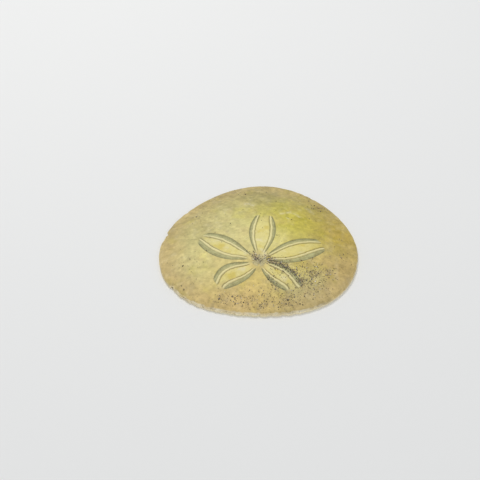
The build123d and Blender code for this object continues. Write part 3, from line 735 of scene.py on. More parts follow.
def patched(tint, plan):
    """The tint with the roof's wide patches on it."""
    wander = strayed(plan, 3.0, 9, (11, 21), layered_noise)
    for x, y, radius, colour, strength in ROOF_PATCHES:
        tint = mix(tint, colour, strength * bell(distance_to((x, y), wander), radius))
    return tint


def scuffed(tint, plan):
    """The tint with the roof's scuffs and faint lines on it."""
    wander = strayed(plan, 0.4, 1.6, (43, 45))
    uneven = 0.75 + 0.6 * noise(plan, 0.9, 53)
    for start, end, half, colour, strength in ROOF_MARKS:
        away, _ = segment_distance(wander, start, end)
        tint = mix(tint, colour, strength * uneven * bell(away, half))
    return tint


def lip_share(grid):
    """How cream the outline's very edge is: in broken stretches, and most along the worn rear."""
    rear = rearness(grid.angle)
    edge = grid.level + 0.008 * layered_noise(grid.plan, 1.5, 41)
    lip = smooth(edge, 0.989 - 0.010 * rear, 0.998 - 0.006 * rear)
    broken = 0.8 + 0.5 * round_the_rim(grid.angle, 2.6, 55)
    return np.clip((0.3 + 0.6 * rear) * broken, 0, 1) * lip


def roof_tint(grid):
    """The roof's colour: straw, patches of olive and amber, scuffs, dust, and tan towards the rim."""
    plan, level = grid.plan, grid.level
    rim = smooth(level + 0.05 * layered_noise(plan, 6, 31), 0.66, 0.94)
    tint = patched(mix(STRAW, TAN, 0.8 * rim), plan)
    tint = blotched(tint, plan, ROOF_BLOTCHES)
    tint = scuffed(mix(tint, CREAM, lip_share(grid)), plan)
    tint = mix(tint, DUST, DUST_STRENGTH * dustiness(plan))
    specks = knobs(plan, 1.5, 0.2, 47) * smooth(layered_noise(plan, 6, 49) + 0.8 * (level - 0.6), 0.0, 0.5)
    tint = mix(tint, STAIN_AND_PORE_SHADE_BROWN, 0.5 * specks)
    tint = blotched(tint, plan, ROOF_FLECKS)
    shade = ROOF_BRIGHTNESS + summed_noise(plan, ROOF_SHADES)
    shade -= FRONT_SHADE * smooth(plan[..., 1], FRONT_SHADE_FROM, FRONT_SHADE_TO)
    shade -= ROOF_SEAM_SHADE * seam_share(grid)
    return tint * shade[..., None]


def floor_tint(grid, groove):
    """The floor's colour: pale round the mouth, straw blotches, a cream edge, and greyer food grooves."""
    plan, level = grid.plan, grid.level
    tint = np.broadcast_to(FLOOR_TAN, (*plan.shape[:-1], 3))
    tint = mix(tint, FLOOR_PALE, 0.7 * bell(distance_to(MOUTH, plan), PALE_FLOOR_RADIUS))
    tint = blotched(tint, plan, FLOOR_BLOTCHES)
    tint = mix(tint, CREAM, 0.5 * smooth(level, 0.975, 0.99))
    tint = mix(tint, GREY_GREEN, 0.45 * groove)
    shade = 1 + summed_noise(plan, FLOOR_SHADES)
    shade -= FLOOR_SEAM_SHADE * seam_share(grid)
    return tint * shade[..., None]


# ---- relief

REAR_MIDDLE = 176  # the angle at which the worn rear edge is worn most

# Rim damage: (rim angle, depth, half width in degrees).
RIM_CHIPS = (
    (81.5, 1.0, 1.3), (85.5, 0.45, 3.0), (127.5, 0.85, 1.2), (131.0, 0.45, 2.6), (137.5, 0.45, 1.6),
    (144.0, 0.3, 1.2), (150.5, 0.3, 1.0), (156.0, 0.4, 0.9), (162.5, 0.25, 1.6), (169.0, 0.35, 0.8),
    (176.0, 0.28, 1.3), (183.5, 0.4, 0.9), (190.0, 0.25, 1.5), (197.5, 0.4, 1.0), (204.0, 0.25, 1.4),
    (217.0, 0.2, 1.4), (262.0, 0.2, 2.0), (328.0, 0.25, 1.5), (334.0, 0.2, 1.0), (58.0, 0.2, 1.5),
)


def round_the_rim(angle, size, seed):
    """Noise that runs round the rim, with lumps of a size."""
    along = np.radians(angle) * MEAN_RADIUS
    return noise(np.stack([along, 0 * along], -1), size, seed)


def rearness(angle):
    """1 along the worn rear edge, falling to 0 at the sides."""
    return smooth(np.cos(np.radians(angle - REAR_MIDDLE)), 0.55, 0.9)


def rim_loss(angle):
    """How far the worn rim is inside the CAD's outline."""
    loss = 0.10 + 0.08 * round_the_rim(angle, 2.2, 101)
    loss += 0.13 * rearness(angle) * (1 + round_the_rim(angle, 0.9, 111))
    ragged = angle + 0.35 * round_the_rim(angle, 0.6, 113)
    for where, depth, half in RIM_CHIPS:
        away = (ragged - where + 180) % 360 - 180
        loss += depth * bell(away, half, 3)
    return loss


def worn_plan(grid):
    """The grid's plan with its rim drawn in where it is worn and chipped."""
    inward = np.stack([np.sin(np.radians(grid.angle)), -np.cos(np.radians(grid.angle))], -1)
    share = smooth(grid.level, 0.94, 0.992)
    return grid.plan + inward * (rim_loss(grid.angle) * share)[..., None]


def fade_at_rim(level):
    return smooth(1 - level, 0.0, 0.02)


def seam_share(grid):
    """1 on a seam between plates, falling to 0 beside it."""
    return bell(grid.seam, SEAM_SPREAD)


def roof_relief(grid, knob_share=1.0):
    plan = grid.plan
    spacing, radius, height = ROOF_KNOBS
    relief = summed_noise(plan, (ROOF_SWELL, ROOF_LUMPS))
    relief += knob_share * height * knobs(plan, spacing, radius, 141)
    rim_rough = smooth(grid.level, 0.95, 0.98) * (0.04 + 0.06 * rearness(grid.angle))
    relief += rim_rough * layered_noise(plan, 0.9, 151)
    return (relief - ROOF_SEAM * seam_share(grid)) * fade_at_rim(grid.level)


def roof_skin(grid, extra=0.0, knob_share=1.0):
    z = roof_height(grid.level) + roof_relief(grid, knob_share) + extra
    return with_height(worn_plan(grid), z)


class Grooves:
    """The food grooves: a trunk out of the mouth along each ray, two branches, and small side branches."""

    def __init__(self, ring_angles, rim_angles):
        self.stretches = []
        for ring, rim in zip(ring_angles, rim_angles):
            trunk = step(MOUTH, ring[1], np.array([MOUTH_RADIUS - 0.5, GROOVE_TRUNK]))
            self.stretches.append((trunk[0], trunk[1], 1.0, 1.0))
            middle = step(MOUTH, ring[1], MOUTH_RING_RADIUS), level_point(SOLID_START, rim[1])
            for side in (0, 2):
                edge = step(MOUTH, ring[side], MOUTH_RING_RADIUS), level_point(SOLID_START, rim[side])
                bend = self.across(middle, edge, *GROOVE_BEND)
                end = self.across(middle, edge, *GROOVE_END)
                self.stretches += [(trunk[1], bend, 1.0, 0.9), (bend, end, 0.9, 0.35)]
                for part, reach, lean in GROOVE_TWIGS:
                    root = self.across(middle, edge, part, GROOVE_END[1] + 0.04 * (1 - part))
                    tip = self.across(middle, edge, part + reach, GROOVE_END[1] + lean)
                    self.stretches.append((root, tip, 0.45, 0.15))

    @staticmethod
    def across(middle, edge, part, swing):
        """A point part of the way out along a ray, swung from its middle towards its edge."""
        near = middle[0] + (middle[1] - middle[0]) * part
        far = edge[0] + (edge[1] - edge[0]) * part
        return near + (far - near) * swing

    def share(self, plan):
        """1 in the middle of a groove, falling to 0 at its banks."""
        wander = strayed(plan, 0.35, 2.6, (161, 171))
        deepest = np.zeros(plan.shape[:-1])
        for start, end, strong, weak in self.stretches:
            away, along = segment_distance(wander, start, end)
            strength = strong + (weak - strong) * along
            deepest = np.maximum(deepest, strength * bell(away, GROOVE_SPREAD))
        return deepest


def floor_skin(grid, grooves):
    plan = grid.plan
    spacing, radius, height = FLOOR_KNOBS
    groove = grooves.share(plan) * smooth(1 - grid.level, 0.02, 0.08)
    knob_share = 1 - smooth(groove, 0.1, 0.4)
    down = summed_noise(plan, FLOOR_LUMPS)
    down += height * knob_share * knobs(plan, spacing, radius, 201) - FLOOR_SEAM * seam_share(grid)
    lift = GROOVE_DEPTH * groove + FLOOR_CLEARANCE + height - down
    z = floor_height(plan, grid.level) + np.clip(lift, 0, None) * fade_at_rim(grid.level)
    return with_height(worn_plan(grid), z), groove


# ---- petals

def edge_tilt(index, side, reach):
    """The angle between a petal's edge and the way out from the crown, in radians."""
    small = 0.05
    rise = seam_angle(index, side, reach + small) - seam_angle(index, side, reach - small)
    return np.arctan(reach * np.radians(side * rise / (2 * small)))


class Petal:
    """One petal's parts, each as a share from 0 to 1 at every point of its grid."""

    def __init__(self, index, grid):
        self.grid = grid
        is_right = np.arange(grid.plan.shape[1]) < grid.plan.shape[1] // 2
        tilt = np.where(is_right, edge_tilt(index, -1, grid.reach), edge_tilt(index, 1, grid.reach))
        inset = np.where(is_right, grid.from_right, grid.from_left) * np.cos(tilt)
        foot = grid.reach + inset * np.sin(tilt)  # the reach of the nearest point of the edge
        left, right = BANDS[RAY_NAMES[index]]
        width, share, taper = (np.where(is_right, *pair) for pair in zip(right, left))
        band_length = RAY_LIST[index][1] * share - EYE_PLATE_REACH
        part = np.clip((foot - EYE_PLATE_REACH) / band_length, 0, 1)
        self.mark_parts(inset, foot, part, self.band_width(part, width, taper))

    def band_width(self, part, width, taper):
        """The pore band's width: it swells from the crown, then tapers towards the petal's tip."""
        past = np.clip((part - BAND_TAPERS_AT) / (1 - BAND_TAPERS_AT), 0, 1)
        swell = np.clip(part / BAND_FULL_AT, 0.001, 1) ** 0.6 * (1 - taper * past**2)
        return (width + BAND_RAGGEDNESS * noise(self.grid.plan, 1.1, 211)) * swell

    def mark_parts(self, inset, foot, part, band):
        crest = RIDGE_CREST * np.sin(np.pi * np.clip(part, 0.001, 0.985)) ** 0.35
        line = band + crest + PORE_LINE_GAP
        self.drawn = window(part, 0.03, 0.14, 0.94, 0.995)
        self.band = window(inset, -0.05, 0.22, band - 0.12, band + 0.12) * self.drawn
        self.ridge = bell(inset - band - 0.5 * crest, 0.42 * crest + 0.02) * self.drawn
        self.line = bell(inset - line, PORE_LINE_SPREAD) * self.drawn * (1 - smooth(part, 0.94, 1.0))
        self.stripe = 0.5 + 0.5 * np.cos(2 * np.pi * foot / PORE_PITCH)
        self.pore = smooth(self.stripe, 0.45, 0.8)
        slit_end = 0.55 * band
        self.slit = self.band * self.pore * window(inset, 0.12, 0.3, slit_end, slit_end + 0.2)
        self.field = smooth(inset, line + 0.1, line + 0.6) * (1 - smooth(part, 0.6, 0.98))
        self.edge = self.band * (bell(inset - 0.24, 0.26) + 0.8 * bell(inset - band + 0.1, 0.16))

    def relief(self):
        relief = RIDGE_RISE * self.ridge + FIELD_RISE * self.field
        relief -= BAND_SINK * self.band + STRIPE_SINK * self.band * (self.stripe - 0.5)
        relief -= PORE_LINE_SINK * self.line * (0.55 + 0.45 * self.pore) + SLIT_SINK * self.slit
        return relief

    def tint(self):
        plan = self.grid.plan
        tint = mix(roof_tint(self.grid), PETAL_YELLOW, 0.75 * self.field * self.drawn)
        tint = blotched(tint, plan, FIELD_BLOTCHES, self.field)
        mottle = layered_noise(plan, 1.2, 213)
        grey = np.clip(self.band * (0.86 + 0.14 * self.stripe + 0.3 * mottle), 0, 1)
        tint = mix(tint, GREY_GREEN, 0.9 * grey) * (1 + 0.34 * self.band * mottle)[..., None]
        shadow = 0.26 * self.slit + 0.12 * self.band * (self.stripe - 0.5) + 0.36 * self.edge
        tint = mix(tint * (1 - shadow)[..., None], RIDGE_CREAM, 0.85 * self.ridge)
        # painted shade: the sunk pore line is darkened with pore brown, most at its pores
        return mix(tint, STAIN_AND_PORE_SHADE_BROWN, self.line * (0.55 + 0.3 * self.pore))


# ---- pieces of the test

def ceiling(level):
    return roof_height(level) - ROOF_THICKNESS


def roof_piece(name, edges, start):
    grid = roof_grid(edges, start, None, ROOF_FACET)
    shell = Shell()
    shell.add_plate(grid, roof_skin(grid), roof_tint(grid), ceiling(grid.level))
    return shell.mesh_object(name)


def petal_piece(name, index):
    grid = roof_grid(ray_edges(index), EYE_PLATE_REACH, RAY_LIST[index][1], PETAL_FACET)
    grid.seam = np.minimum(grid.from_right, grid.from_left) + PETAL_SEAM_INSET
    petal = Petal(index, grid)
    shell = Shell()
    outer = roof_skin(grid, petal.relief(), PETAL_KNOB_SHARE)
    shell.add_plate(grid, outer, petal.tint(), ceiling(grid.level))
    return shell.mesh_object(name)


def crown_pits(plan):
    """Pits of the sieve plate and the four genital pores: their depth, and their painted shade."""
    spacing, radius, depth = SIEVE_PITS
    sieve = knobs(plan, spacing, radius, 221)
    pores = np.zeros(plan.shape[:-1])
    for index, name in enumerate(GAP_NAMES):
        if name != "rear":
            angle = gap_edges(index)[1](np.array(CROWN_PLATE_REACH))
            away = distance_to(step(CROWN, angle, GENITAL_PORE_REACH), plan)
            pores = np.maximum(pores, bell(away, GENITAL_PORE_RADIUS, 4))
    return depth * sieve + GENITAL_PORE_DEPTH * pores, np.maximum(SIEVE_PIT_SHADE * sieve, pores)


def crown_piece(name):
    """The sieve plate: rings of points round the crown, with one point in the middle of each skin."""
    radius = np.linspace(0, CROWN_PLATE_REACH, CROWN_RINGS + 1)[1:, None]
    plan = step(CROWN, np.linspace(0, 360, CROWN_COLUMNS, endpoint=False), radius)
    grid = Grid(plan, CROWN_RINGS, 1, CROWN_COLUMNS // 2)
    grid.seam = CROWN_PLATE_REACH - radius + 0 * grid.level
    pits, dark = crown_pits(plan)
    # painted shade: the sieve pits and genital pores are darkened with pore brown
    tint = mix(mix(roof_tint(grid), CROWN_GREY, 0.6), STAIN_AND_PORE_SHADE_BROWN, 0.8 * dark)
    outer = roof_skin(grid, CROWN_RISE - pits, 0.0)
    peak = np.array([[*CROWN, outer[0, :, 2].mean()]])
    shell = Shell()
    skin = shell.add_points(outer, tint)
    top = shell.add_points(peak, tint[0, 0])[0]
    inner = with_height(plan[-1], ceiling(grid.level[-1]))
    back = shell.add_points(inner, BONE)
    bottom = shell.add_points(np.array([[*CROWN, inner[:, 2].mean()]]), BONE)[0]
    skin = np.concatenate([skin, skin[:, :1]], axis=1)
    back = np.append(back, back[0])
    shell.skin_faces += quads(skin)
    for i in range(CROWN_COLUMNS):
        shell.skin_faces.append((skin[0, i], skin[0, i + 1], top))
        shell.other_faces.append((skin[-1, i], skin[-1, i + 1], back[i + 1], back[i]))
        shell.other_faces.append((back[i], back[i + 1], bottom))
    return shell.mesh_object(name)


def eye_piece(name):
    """The five small plates at the petals' roots, each with one pore."""
    shell = Shell()
    for index, (angle, *_) in enumerate(RAY_LIST):
        grid = roof_grid(ray_edges(index), CROWN_PLATE_REACH, EYE_PLATE_REACH, PETAL_FACET)
        from_crown = np.abs(grid.reach - CROWN_PLATE_REACH)
        grid.seam = np.minimum(np.minimum(grid.from_right, grid.from_left), from_crown)
        away = distance_to(step(CROWN, angle, EYE_PORE_REACH), grid.plan)
        pore = bell(away, EYE_PORE_RADIUS, 4)
        # painted shade: each eye pore, only a dent, is darkened with pore brown
        tint = mix(mix(roof_tint(grid), CROWN_GREY, 0.5), STAIN_AND_PORE_SHADE_BROWN, 0.8 * pore)
        outer = roof_skin(grid, EYE_RISE - EYE_PORE_DEPTH * pore, 0.0)
        shell.add_plate(grid, outer, tint, ceiling(grid.level))
    return shell.mesh_object(name)


def add_floor(shell, grid, grooves):
    outer, groove = floor_skin(grid, grooves)
    shell.add_plate(grid, outer, floor_tint(grid, groove), SEAM_HEIGHT + hollow(grid.plan))


def floor_piece(name, ring_angles, rim_angles, grooves, has_vent):
    shell = Shell()
    add_floor(shell, floor_grid(ring_angles, rim_angles, FLOOR_FACET), grooves)
    piece = shell.mesh_object(name)
    if has_vent:
        cut_vent(piece)
    return piece


def cut_vent(piece):
    """Cuts the oval vent through the rear gap's floor."""
    bpy.ops.mesh.primitive_cylinder_add(vertices=48, radius=MM, depth=8 * MM)
    cutter = bpy.context.object
    cutter.scale = (VENT_RADII[0], VENT_RADII[1], 1)
    cutter.location = (VENT[0] * MM, VENT[1] * MM, 0)
    cut = piece.modifiers.new("vent", "BOOLEAN")
    cut.operation, cut.solver, cut.object = "DIFFERENCE", "EXACT", cutter
    bpy.context.view_layer.update()
    mesh = bpy.data.meshes.new_from_object(piece.evaluated_get(bpy.context.evaluated_depsgraph_get()))
    piece.modifiers.clear()
    piece.data = mesh
    bpy.data.objects.remove(cutter)


def ring_piece(name, sectors, grooves, has_ridges):
    """The mouth ring's plates, one in each sector, with or without the jaws' ridges."""
    shell = Shell()
    for low, high in sectors:
        grid = ring_grid(low, high, RING_FACET)
        grid.seam = np.minimum(grid.from_right, grid.from_left)
        add_floor(shell, grid, grooves)
        if has_ridges:
            add_ridge(shell, (low + high) / 2)
    return shell.mesh_object(name)


def add_ridge(shell, angle):
    """The round-topped ridge that a jaw rocks on."""
    turn = np.radians(np.linspace(-90, 90, 13))
    arch = RIDGE_RADIUS * np.stack([np.sin(turn), np.cos(turn)], -1)
    foot = SEAM_HEIGHT + HOLLOW_DEPTH / 2 - PIVOT_HEIGHT
    profile = np.concatenate([[[-RIDGE_RADIUS, foot]], arch, [[RIDGE_RADIUS, foot]]])
    out, side = step((0, 0), angle, 1.0), step((0, 0), angle + 90, 1.0)
    ends = []
    for across in (-RIDGE_WIDTH / 2, RIDGE_WIDTH / 2):
        plan = np.array(MOUTH) + np.outer(PIVOT_REACH + profile[:, 0], out) + across * side
        ends.append(with_height(plan, PIVOT_HEIGHT + profile[:, 1]))
    ids = shell.add_points(np.array(ends), BONE)
    count = ids.shape[1]
    for i in range(count):
        j = (i + 1) % count
        shell.other_faces.append((ids[0, i], ids[0, j], ids[1, j], ids[1, i]))
    shell.other_faces += [tuple(ids[0]), tuple(ids[1][::-1])]


def corners_cut(line):
    """The same line of points with each corner cut, between the same two ends."""
    near, far = line[:-1], line[1:]
    cut = np.stack([0.75 * near + 0.25 * far, 0.25 * near + 0.75 * far], 1).reshape(-1, line.shape[1])
    return np.concatenate([line[:1], cut, line[-1:]])


def squarish(wave):
    """A sine or cosine with its corners filled out."""
    return np.sign(wave) * np.abs(wave) ** TOOTH_SQUARENESS


def tooth_piece(name, angle):
    """A curved tooth with a rounded section and a chisel tip, pointing out from the mouth at an angle."""
    line = np.array(TOOTH_LINE)
    for _ in range(TOOTH_SMOOTHINGS):
        line = corners_cut(line)
    run, rise, thick, wide = line.T
    slope = np.arctan2(np.gradient(rise), np.gradient(run))[:, None]
    turn = np.radians(np.arange(TOOTH_SIDES) * 360 / TOOTH_SIDES)
    over = squarish(np.sin(turn)) * thick[:, None]
    aside = squarish(np.cos(turn)) * wide[:, None]
    out, across = step((0, 0), angle, 1.0), step((0, 0), angle + 90, 1.0)
    distance = (run[:, None] - over * np.sin(slope))[..., None]
    plan = np.array(MOUTH) + distance * out + aside[..., None] * across
    shell = Shell()
    skin = shell.add_points(with_height(plan, rise[:, None] + over * np.cos(slope)), BONE)
    shell.skin_faces += quads(np.concatenate([skin, skin[:, :1]], axis=1))
    shell.other_faces += [tuple(skin[0]), tuple(skin[-1][::-1])]
    return shell.mesh_object(name)


# ---- sand grains

GRAIN_SEED = 7
GRAIN_CEILING = HEIGHT + 0.2  # no grain stands higher than this
GRAIN_RADIUS = (0.16, 0.30, 0.09, 0.30)  # usual, spread, least and most
GRAIN_LIMIT = 0.955  # the level past which no grain lies
GRAIN_LIFT = 0.35  # how high a grain's middle lies, as a share of its radius
# Each kind of grain: its colour and how often it turns up.
GRAIN_TINTS = (
    (linear(78, 73, 66), 0.18), (linear(112, 104, 93), 0.28), (linear(140, 129, 113), 0.26),
    (linear(156, 130, 103), 0.12), (linear(182, 174, 158), 0.12), (linear(226, 222, 214), 0.04),
)


def grain_spots(rng):
    """Random places for the grains, drift by drift."""
    spots = []
    for x, y, along, across, turn, number in SAND_DRIFTS:
        p = rng.normal(size=(number, 2)) * (along, across)
        a = math.radians(turn)
        spots.append(p @ np.array([[math.cos(a), math.sin(a)], [-math.sin(a), math.cos(a)]]) + (x, y))
    spots = np.concatenate(spots)
    return spots[level_and_angle(spots)[0] < GRAIN_LIMIT]


def grain_shape(rng):
    """A rough little stone: an icosahedron with its corners moved in and out."""
    stone = bmesh.new()
    bmesh.ops.create_icosphere(stone, subdivisions=1, radius=1.0)
    corners = np.array([v.co[:] for v in stone.verts])
    faces = [[v.index for v in f.verts] for f in stone.faces]
    stone.free()
    corners = corners * rng.uniform(0.72, 1.1, (len(corners), 1)) * rng.uniform(0.7, 1.2, 3)
    return corners, faces


def sand_piece(name):
    rng = np.random.default_rng(GRAIN_SEED)
    spots = grain_spots(rng)
    level = level_and_angle(spots)[0]
    ground = roof_height(level) + summed_noise(spots, (ROOF_SWELL,))
    shell = Shell()
    chances = np.array([chance for _, chance in GRAIN_TINTS])
    usual, spread, least, most = GRAIN_RADIUS
    for spot, z in zip(spots, ground):
        corners, faces = grain_shape(rng)
        radius = np.clip(rng.lognormal(math.log(usual), spread), least, most)
        spin = np.radians(rng.uniform(0, 360))
        turn = np.array([[np.cos(spin), -np.sin(spin), 0], [np.sin(spin), np.cos(spin), 0], [0, 0, 1]])
        tint = GRAIN_TINTS[rng.choice(len(chances), p=chances / chances.sum())][0] * rng.uniform(0.8, 1.2)
        points = corners @ turn * radius + (*spot, z + GRAIN_LIFT * radius)
        if points[:, 2].max() > GRAIN_CEILING:
            continue
        ids = shell.add_points(points, tint)
        shell.other_faces += [tuple(ids[i] for i in face) for face in faces]
    return shell.mesh_object(name)


# ---- materials

MOTTLE_SCALE = 900.0
ROUGHNESS_SPREAD = 0.08
SPECULAR = 0.35


def new_material(name):
    material = bpy.data.materials.new(name)
    material.use_nodes = True
    nodes, links = material.node_tree.nodes, material.node_tree.links
    return material, nodes, links, nodes["Principled BSDF"]


def add(nodes, kind, **inputs):
    """A shader node with its inputs set by name."""
    node = nodes.new(kind)
    for key, value in inputs.items():
        node.inputs[key.replace("_", " ")].default_value = value
    return node


def spread_over(nodes, links, source, **ends):
    """The source's value, mapped from one range to another."""
    mapped = add(nodes, "ShaderNodeMapRange", **ends)
    links.new(source, mapped.inputs["Value"])
    return mapped.outputs["Result"]


def combined(nodes, links, operation, first, second):
    sum_or_product = nodes.new("ShaderNodeMath")
    sum_or_product.operation = operation
    links.new(first, sum_or_product.inputs[0])
    links.new(second, sum_or_product.inputs[1])
    return sum_or_product.outputs["Value"]


def stereom(name, grain_size, bump_height, roughness, variation, tint=None):
    """Matt, finely pitted skeleton: the mesh's own tint, or one colour, mottled and pitted at two sizes,
    with painted shade in the pits.
    """
    material, nodes, links, shader = new_material(name)
    where = nodes.new("ShaderNodeTexCoord").outputs["Object"]
    mottle = add(nodes, "ShaderNodeTexNoise", Scale=MOTTLE_SCALE, Detail=4.0, Roughness=0.6)
    pits = add(nodes, "ShaderNodeTexVoronoi", Scale=1 / (grain_size * MM), Randomness=1.0)
    fine = add(nodes, "ShaderNodeTexNoise", Scale=1 / (0.4 * grain_size * MM), Detail=3.0)
    for texture in (mottle, pits, fine):
        links.new(where, texture.inputs["Vector"])
    uneven = spread_over(nodes, links, mottle.outputs["Fac"], From_Min=0.25, From_Max=0.75,
                         To_Min=1 - variation, To_Max=1 + variation)
    # painted shade: the colour is darkened towards the bottoms of the bump's pits
    pitted = spread_over(nodes, links, pits.outputs["Distance"], From_Max=0.35, To_Min=0.90, To_Max=1.02)
    coloured = nodes.new("ShaderNodeVectorMath")
    coloured.operation = "SCALE"
    if tint is None:
        own = nodes.new("ShaderNodeVertexColor")
        own.layer_name = "tint"
        links.new(own.outputs["Color"], coloured.inputs[0])
    else:
        coloured.inputs[0].default_value = tuple(tint)
    links.new(combined(nodes, links, "MULTIPLY", uneven, pitted), coloured.inputs["Scale"])
    links.new(coloured.outputs["Vector"], shader.inputs["Base Color"])
    bump = add(nodes, "ShaderNodeBump", Strength=0.6, Distance=bump_height * MM)
    height = combined(nodes, links, "ADD", pits.outputs["Distance"], fine.outputs["Fac"])
    links.new(height, bump.inputs["Height"])
    links.new(bump.outputs["Normal"], shader.inputs["Normal"])
    rough = spread_over(nodes, links, mottle.outputs["Fac"],
                        To_Min=roughness - ROUGHNESS_SPREAD, To_Max=roughness + ROUGHNESS_SPREAD)
    links.new(rough, shader.inputs["Roughness"])
    shader.inputs["Specular IOR Level"].default_value = SPECULAR
    return material


def floor_material():
    """The pale studio floor. Its underside is clear, so that the part can be looked at from below."""
    material, nodes, links, shader = new_material("studio_floor")
    shader.inputs["Base Color"].default_value = (0.80, 0.80, 0.79, 1)
    shader.inputs["Roughness"].default_value = 0.9
    clear = nodes.new("ShaderNodeBsdfTransparent")
    blend = nodes.new("ShaderNodeMixShader")
    side = nodes.new("ShaderNodeNewGeometry")
    links.new(side.outputs["Backfacing"], blend.inputs["Fac"])
    links.new(shader.outputs["BSDF"], blend.inputs[1])
    links.new(clear.outputs["BSDF"], blend.inputs[2])
    links.new(blend.outputs["Shader"], nodes["Material Output"].inputs["Surface"])
    return material


# ---- studio

CAMERA_TARGET = (-8.15, 4.55, 0.0)
CAMERA_AZIMUTH, CAMERA_ELEVATION, CAMERA_DISTANCE = 4.5, 42.0, 420.0
LENS, SENSOR = 76.8, 36.0
# Each light: its azimuth, elevation, distance and size in metres, power and colour.
LIGHTS = {
    "key": (-150, 60, 0.9, 0.35, 3.4, (1.0, 0.985, 0.96)),
    "fill": (40, 50, 1.0, 0.9, 0.8, (0.96, 0.98, 1.0)),
    "from_below": (20, -60, 0.8, 0.8, 4.6, (1.0, 1.0, 1.0)),
}
SKY_COLOUR, SKY_STRENGTH = (0.95, 0.97, 1.0, 1), 0.62
FLOOR_REACH, FLOOR_DROP = 3.0, 0.02 * MM


def direction(azimuth, elevation):
    """The way from the part towards an azimuth, from the rear edge anticlockwise, and an elevation."""
    a, e = math.radians(azimuth), math.radians(elevation)
    return Vector((math.sin(a) * math.cos(e), -math.cos(a) * math.cos(e), math.sin(e)))


def aim(item, back):
    item.rotation_mode = "QUATERNION"
    item.rotation_quaternion = (-back).to_track_quat("-Z", "Y")


def make_camera():
    data = bpy.data.cameras.new("camera")
    data.lens, data.sensor_width = LENS, SENSOR
    data.clip_start, data.clip_end = 0.01, 10.0
    camera = linked_object("camera", data)
    back = direction(CAMERA_AZIMUTH, CAMERA_ELEVATION)
    camera.location = Vector(CAMERA_TARGET) * MM + back * CAMERA_DISTANCE * MM
    aim(camera, back)
    bpy.context.scene.camera = camera


def make_light(name, azimuth, elevation, distance, size, power, colour):
    data = bpy.data.lights.new(name, "AREA")
    data.size, data.energy, data.color = size, power, colour
    light = linked_object(name, data)
    back = direction(azimuth, elevation)
    light.location = back * distance
    aim(light, back)


def make_studio():
    mesh = bpy.data.meshes.new("studio_floor")
    signs = ((-1, -1), (1, -1), (1, 1), (-1, 1))
    corners = [(x * FLOOR_REACH, y * FLOOR_REACH, -FLOOR_DROP) for x, y in signs]
    mesh.from_pydata(corners, [], [(0, 1, 2, 3)])
    mesh.materials.append(floor_material())
    floor = linked_object("studio_floor", mesh)
    floor.visible_shadow = False
    for name, settings in LIGHTS.items():
        make_light(name, *settings)
    world = bpy.data.worlds.new("studio")
    world.use_nodes = True
    sky = world.node_tree.nodes["Background"]
    sky.inputs["Color"].default_value = SKY_COLOUR
    sky.inputs["Strength"].default_value = SKY_STRENGTH
    bpy.context.scene.world = world
    bpy.context.scene.view_settings.view_transform = "Standard"


# ---- assembly

def stand_in(node, make, details, slot, materials, body="test"):
    """Makes the piece that stands for a CAD node on a body, in its slot's material."""
    piece = make(f"{node}_detail", *details)
    piece.data.materials.clear()
    piece.data.materials.append(materials[slot])
    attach(piece, body)
    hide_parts(node)


def make_roof(materials):
    for index, name in enumerate(RAY_NAMES):
        beyond_petal = ray_edges(index), RAYS[name][1]
        stand_in(f"{name}_petal", petal_piece, (index,), "petal_stereom", materials)
        stand_in(f"{name}_ray_roof", roof_piece, beyond_petal, "roof_stereom", materials)
    for index, name in enumerate(GAP_NAMES):
        beyond_crown = gap_edges(index), CROWN_PLATE_REACH
        stand_in(f"{name}_gap_roof", roof_piece, beyond_crown, "roof_stereom", materials)
    stand_in("crown_plate", crown_piece, (), "crown_stereom", materials)
    stand_in("eye_plates", eye_piece, (), "crown_stereom", materials)


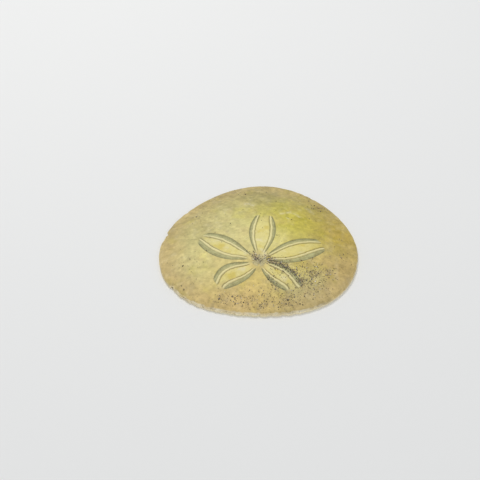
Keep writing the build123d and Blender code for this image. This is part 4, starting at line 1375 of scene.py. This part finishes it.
def make_floor(materials):
    rays = range(RAY_COUNT)
    gap_half = RING_GAP_HALF_ANGLE
    ray_half = RAY_TURN / 2 - gap_half
    ray_rings = [[RAY_TURN * i + turn for turn in (-ray_half, 0, ray_half)] for i in rays]
    gap_rings = [[RAY_TURN * (i + 0.5) + turn for turn in (-gap_half, 0, gap_half)] for i in rays]
    ray_rims = [rim_angles_of(ray_edges(i)) for i in rays]
    gap_rims = [rim_angles_of(gap_edges(i)) for i in rays]
    grooves = Grooves(ray_rings, ray_rims)
    for name, ring, rim in zip(RAY_NAMES, ray_rings, ray_rims):
        stand_in(f"{name}_ray_floor", floor_piece, (ring, rim, grooves, False), "floor_stereom", materials)
    for name, ring, rim in zip(GAP_NAMES, gap_rings, gap_rims):
        details = ring, rim, grooves, name == "rear"
        stand_in(f"{name}_gap_floor", floor_piece, details, "floor_stereom", materials)
    halves = [(a, b) for right, middle, left in ray_rings for a, b in ((right, middle), (middle, left))]
    stand_in("mouth_ray_plates", ring_piece, (halves, grooves, False), "floor_stereom", materials)
    whole = [(right, left) for right, _, left in gap_rings]
    stand_in("mouth_gap_plates", ring_piece, (whole, grooves, True), "floor_stereom", materials)


def make_teeth(materials):
    for i, name in enumerate(GAP_NAMES):
        angle = RAY_TURN * (i + 0.5)
        stand_in(f"{name}_tooth", tooth_piece, (angle,), "tooth_calcite", materials, body=f"{name}_jaw")


def make_sand(material):
    sand = sand_piece("sand_grains")
    sand.data.materials.append(material)
    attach(sand, "test")


def dress_cad_nodes(frame, materials):
    """The jaws and pillars keep their CAD meshes and get finer materials."""
    for name, node in frame["nodes"].items():
        if "jaw" in name or name == "rim_pillars":
            kind = "jaw" if "jaw" in name else "pillar"
            for slot in node.material_slots:
                slot.material = materials[kind]


def make_materials():
    """The materials, by the slot of the pieces made here or by the kind of what keeps its CAD mesh."""
    petal = stereom("petal_stereom_fine", 0.30, 0.035, 0.70, 0.07)
    return {
        "petal_stereom": petal,
        "crown_stereom": petal,
        "roof_stereom": stereom("roof_stereom_fine", 0.42, 0.05, 0.72, 0.10),
        "floor_stereom": stereom("floor_stereom_fine", 0.45, 0.05, 0.75, 0.06),
        "tooth_calcite": stereom("tooth_calcite_fine", 0.20, 0.01, 0.38, 0.03, TOOTH_WHITE),
        "pillar": stereom("inner_stereom_fine", 0.40, 0.05, 0.80, 0.06, BONE),
        "jaw": stereom("jaw_calcite_fine", 0.25, 0.02, 0.55, 0.05, JAW_WHITE),
        "sand": stereom("sand_grains_fine", 0.10, 0.01, 0.45, 0.08),
    }


def main():
    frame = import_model()
    materials = make_materials()
    make_roof(materials)
    make_floor(materials)
    make_teeth(materials)
    make_sand(materials["sand"])
    dress_cad_nodes(frame, materials)
    make_camera()
    make_studio()


main()
